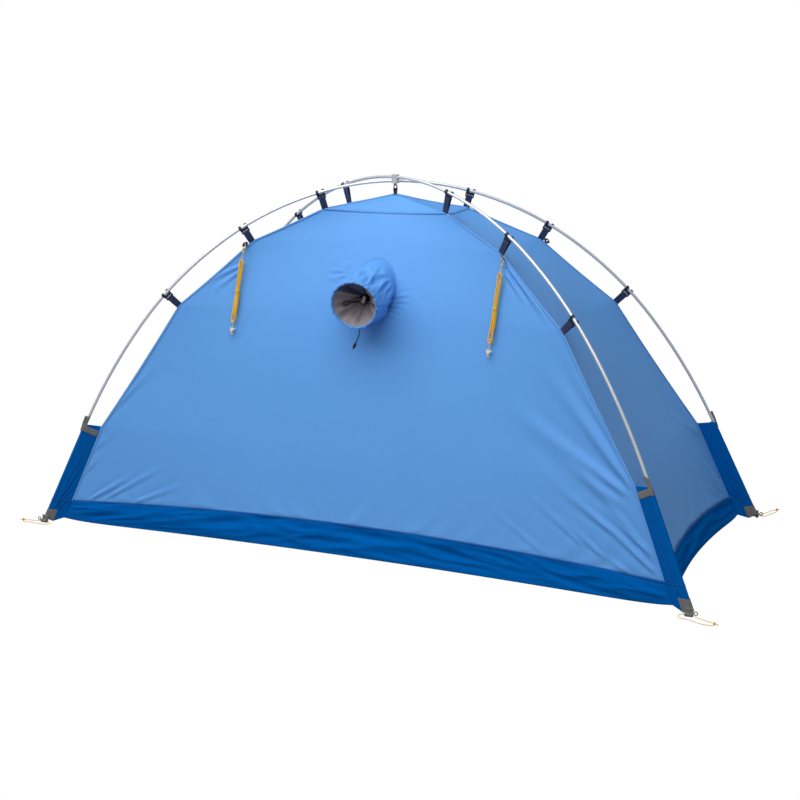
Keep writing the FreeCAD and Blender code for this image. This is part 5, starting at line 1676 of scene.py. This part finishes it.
def lining_surface(across, inward):
    """The lining's cloth, from the rim in to its gathered neck."""
    angle = 2 * math.pi * across
    along = VENT_REACH - 0.002 - 0.112 * inward
    gather = smooth_step(inward)
    radius = (VENT_R - 0.0032) * (1.0 - gather) + 0.015 * gather
    folds = math.sin(angle * 9 + 1.6 * math.sin(angle * 2)) * 0.55 + math.sin(angle * 14 + 2.0) * 0.3
    folds += noise.noise(Vector((math.cos(angle) * 3.0, math.sin(angle) * 3.0, inward * 3.0))) * 0.8
    deep = min(inward / 0.22, 1.0) * (0.0105 * (1.0 - gather) + 0.0035)
    return tube_point(angle, along, radius - (folds + 0.9) * deep * 0.62) - VENT_UP * LINING_SAG * gather


def lining_finish():
    """Taupe lining with a dark navy panel on its upper side, blue cloth painted dark as shade, and a fine
    ripstop grid.
    """
    material, shader, place, cloth_uv = new_finish("vent_lining_cloth")
    # The panel's dark navy is painted shade on the lining's upper side, where the tunnel's top shades it.
    panel = (cloth_uv.split(0) - 0.090).size().below(0.047)
    grid = sum((cloth_uv.split(axis) * (2 * math.pi / 0.005)).sine().above(0.9) for axis in (0, 1))
    taupe = place.noise(60.0, 3.0).between(colour(0.230, 0.195, 0.225), colour(0.330, 0.285, 0.310))
    connect(
        shader,
        Base_Color=panel.between(taupe, colour(0.010, 0.030, 0.125)),
        Roughness=place.noise(50.0, 2.0) * 0.1 + 0.55,
        Normal=bumped(grid * 0.3 + place.noise(240.0, 3.0), 0.0005, 0.6),
        Sheen_Weight=0.3,
    )
    return material


lining = cloth("vent_lining", 220, 50, lining_surface, lining_finish(), (0.42, 0.12), 0.0004, weld=True)
sewn(lining, "lining_fabric", "vent_lining")


# %% Insect mesh
def mesh_surface(across, ring):
    """The mesh's disc, from its middle out to the tunnel's wall."""
    angle = 2 * math.pi * across
    return tube_point(angle, -0.020 - 0.004 * (1.0 - ring), 0.0010 + 0.0655 * ring)


screen = cloth("vent_screen", 72, 12, mesh_surface, MESH, (0.40, 0.065), 0.0004, weld=True)
sewn(screen, "mesh_fabric", "vent_mesh")
print("lining and mesh:", len(lining.data.polygons), len(screen.data.polygons), "faces")

# %% [markdown]
# ## Lining tie
# A black cord goes round the gathered neck and ends in a loose loop that lies out towards the rim. A small
# clear toggle holds it. The cords are short curves turned to one mesh, and the toggle is a beveled cone.

# %% Lining tie
neck = VENT_REACH - 0.100
low_neck = -VENT_UP * LINING_SAG * 0.97
ring = [
    tube_point(2 * math.pi * step / 14, neck, 0.0185 + 0.0012 * (step % 2)) + low_neck for step in range(14)
]
knot_place = tube_point(0.4, neck + 0.006, 0.0150) + low_neck


def inside_vent(depth, angle, radius):
    """A point in the tunnel, given by its depth behind the rim and an angle that starts at its left side."""
    return tube_point(math.radians(angle), VENT_REACH - depth, radius)


LONG_END = (
    (0.080, -12, 0.022), (0.055, -10, 0.036), (0.034, -2, 0.043), (0.026, -12, 0.045), (0.036, -22, 0.042),
    (0.052, -14, 0.034), (0.066, -30, 0.026), (0.080, -50, 0.020),
)
SHORT_END = ((0.086, 110, 0.010), (0.078, 170, 0.020), (0.080, 190, 0.028), (0.090, 205, 0.022))
routes = [(ring, True), (overhand(knot_place, VENT_AXIS, 0.0042), True)]
routes += [([knot_place] + [inside_vent(*place) for place in end], False) for end in (LONG_END, SHORT_END)]
tie = cord_mesh("lining_tie", routes, 0.0030, BLACK_CORD)
sewn(tie, "cord_black", "mesh_tie")
toggle_mesh = bmesh.new()
bmesh.ops.create_cone(
    toggle_mesh, cap_ends=True, segments=32, radius1=0.0062, radius2=0.0052, depth=0.022,
    matrix=Matrix.Translation(knot_place - VENT_UP * 0.004 - VENT_SIDE * 0.012 + VENT_AXIS * 0.008)
    @ (VENT_UP - VENT_SIDE * 0.35).to_track_quat("Z", "Y").to_matrix().to_4x4(),
)
rims = [edge for edge in toggle_mesh.edges if edge.calc_face_angle(0.0) > 0.8]
bmesh.ops.bevel(toggle_mesh, geom=rims, offset=0.0011, segments=3, profile=0.5, affect="EDGES", material=-1)
toggle = mesh_piece("lining_toggle", toggle_mesh, CLEAR)
sewn(toggle, "clear_plastic")
print("lining tie and toggle:", len(tie.data.polygons), "faces in the tie")

# %% [markdown]
# ## Finishes on the frame's parts
# The poles, clips, hook, connector, cord lock, runners and sliders are shown as they were designed. Their
# meshes are left as they are, and each only gets a finish in place of its plain one.

# %% Frame parts' finishes
FRAME_FINISHES = {
    "pole_a_tubes": POLE,
    "pole_b_tubes": POLE,
    "pole_ferrules": FERRULE,
    "pole_tips": BLACK,
    "shock_cords": BLACK_CORD,
    "crossing_connector": CLEAR,
    "top_hook": BLACK,
    "vent_cord_lock": BLACK,
    "vent_lock_button": BLACK,
    "corner_elastics": BLACK_CORD,
    "guy_runner_left": IVORY,
    "guy_runner_right": IVORY,
}
for name, part in frame["nodes"].items():
    if part.hide_render:
        continue
    finish = FRAME_FINISHES.get(name)
    if name.startswith("clip_"):
        finish = CLIP
    if name.startswith("zip_"):
        finish = ENAMEL
    if finish is None:
        print("no finish for", name)
        continue
    part.data.materials.clear()
    part.data.materials.append(finish)
    for face in part.data.polygons:
        face.material_index = 0

# %% [markdown]
# ## Floor
# The tent stands on a plain white floor. The floor is seen by the camera, but its light doesn't reach the
# tent, because a white bounce from below would turn the deep blue bands grey.

# %% Stage
floor_material = bpy.data.materials.new("white_floor")
floor_material.use_nodes = True
floor_nodes = floor_material.node_tree.nodes
floor_shader = floor_nodes["Principled BSDF"]
floor_shader.inputs["Base Color"].default_value = (0.0, 0.0, 0.0, 1.0)
floor_shader.inputs["Specular IOR Level"].default_value = 0.0
floor_shader.inputs["Emission Color"].default_value = (1.0, 1.0, 1.0, 1.0)
floor_shader.inputs["Emission Strength"].default_value = 1.0
stage_mesh = bmesh.new()
bmesh.ops.create_grid(stage_mesh, x_segments=1, y_segments=1, size=30.0)
bmesh.ops.translate(stage_mesh, verts=stage_mesh.verts, vec=(0.0, 0.0, -0.0015))
floor_plane = mesh_piece("studio_floor", stage_mesh, floor_material, smooth=False)
floor_plane.visible_diffuse = False
floor_plane.visible_glossy = False
print("floor:", floor_plane.name)

# %% [markdown]
# ## Light and sky
# One large soft light stands high in front, so the vent wall is bright and the short wall falls into shade.
# The sky is white to the camera and a mid grey to the tent, so it fills the shadows without washing them out.

# %% Light and sky
KEY_PLACE, KEY_TARGET = Vector((-0.45, -1.9, 3.6)), Vector((0.0, -0.2, 0.5))
key_data = bpy.data.lights.new("key_softbox", "AREA")
key_data.shape = "RECTANGLE"
key_data.size = 5.0
key_data.size_y = 3.6
key_data.energy = 162.0
key = link(bpy.data.objects.new("key_softbox", key_data))
key.location = KEY_PLACE
key.rotation_mode = "QUATERNION"
key.rotation_quaternion = (KEY_TARGET - KEY_PLACE).to_track_quat("-Z", "Y")

world = bpy.data.worlds.new("studio")
bpy.context.scene.world = world
world.use_nodes = True
sky_nodes, sky_links = world.node_tree.nodes, world.node_tree.links
fill_light = sky_nodes["Background"]
fill_light.inputs["Color"].default_value = (0.96, 0.98, 1.0, 1.0)
fill_light.inputs["Strength"].default_value = 0.33
backdrop = sky_nodes.new("ShaderNodeBackground")
backdrop.inputs["Color"].default_value = (1.0, 1.0, 1.0, 1.0)
seen = sky_nodes.new("ShaderNodeLightPath")
choose = sky_nodes.new("ShaderNodeMixShader")
sky_links.new(seen.outputs["Is Camera Ray"], choose.inputs[0])
sky_links.new(fill_light.outputs[0], choose.inputs[1])
sky_links.new(backdrop.outputs[0], choose.inputs[2])
sky_links.new(choose.outputs[0], sky_nodes["World Output"].inputs["Surface"])
bpy.context.scene.view_settings.view_transform = "Standard"
print("light:", round((KEY_TARGET - KEY_PLACE).length, 2), "m from its target")
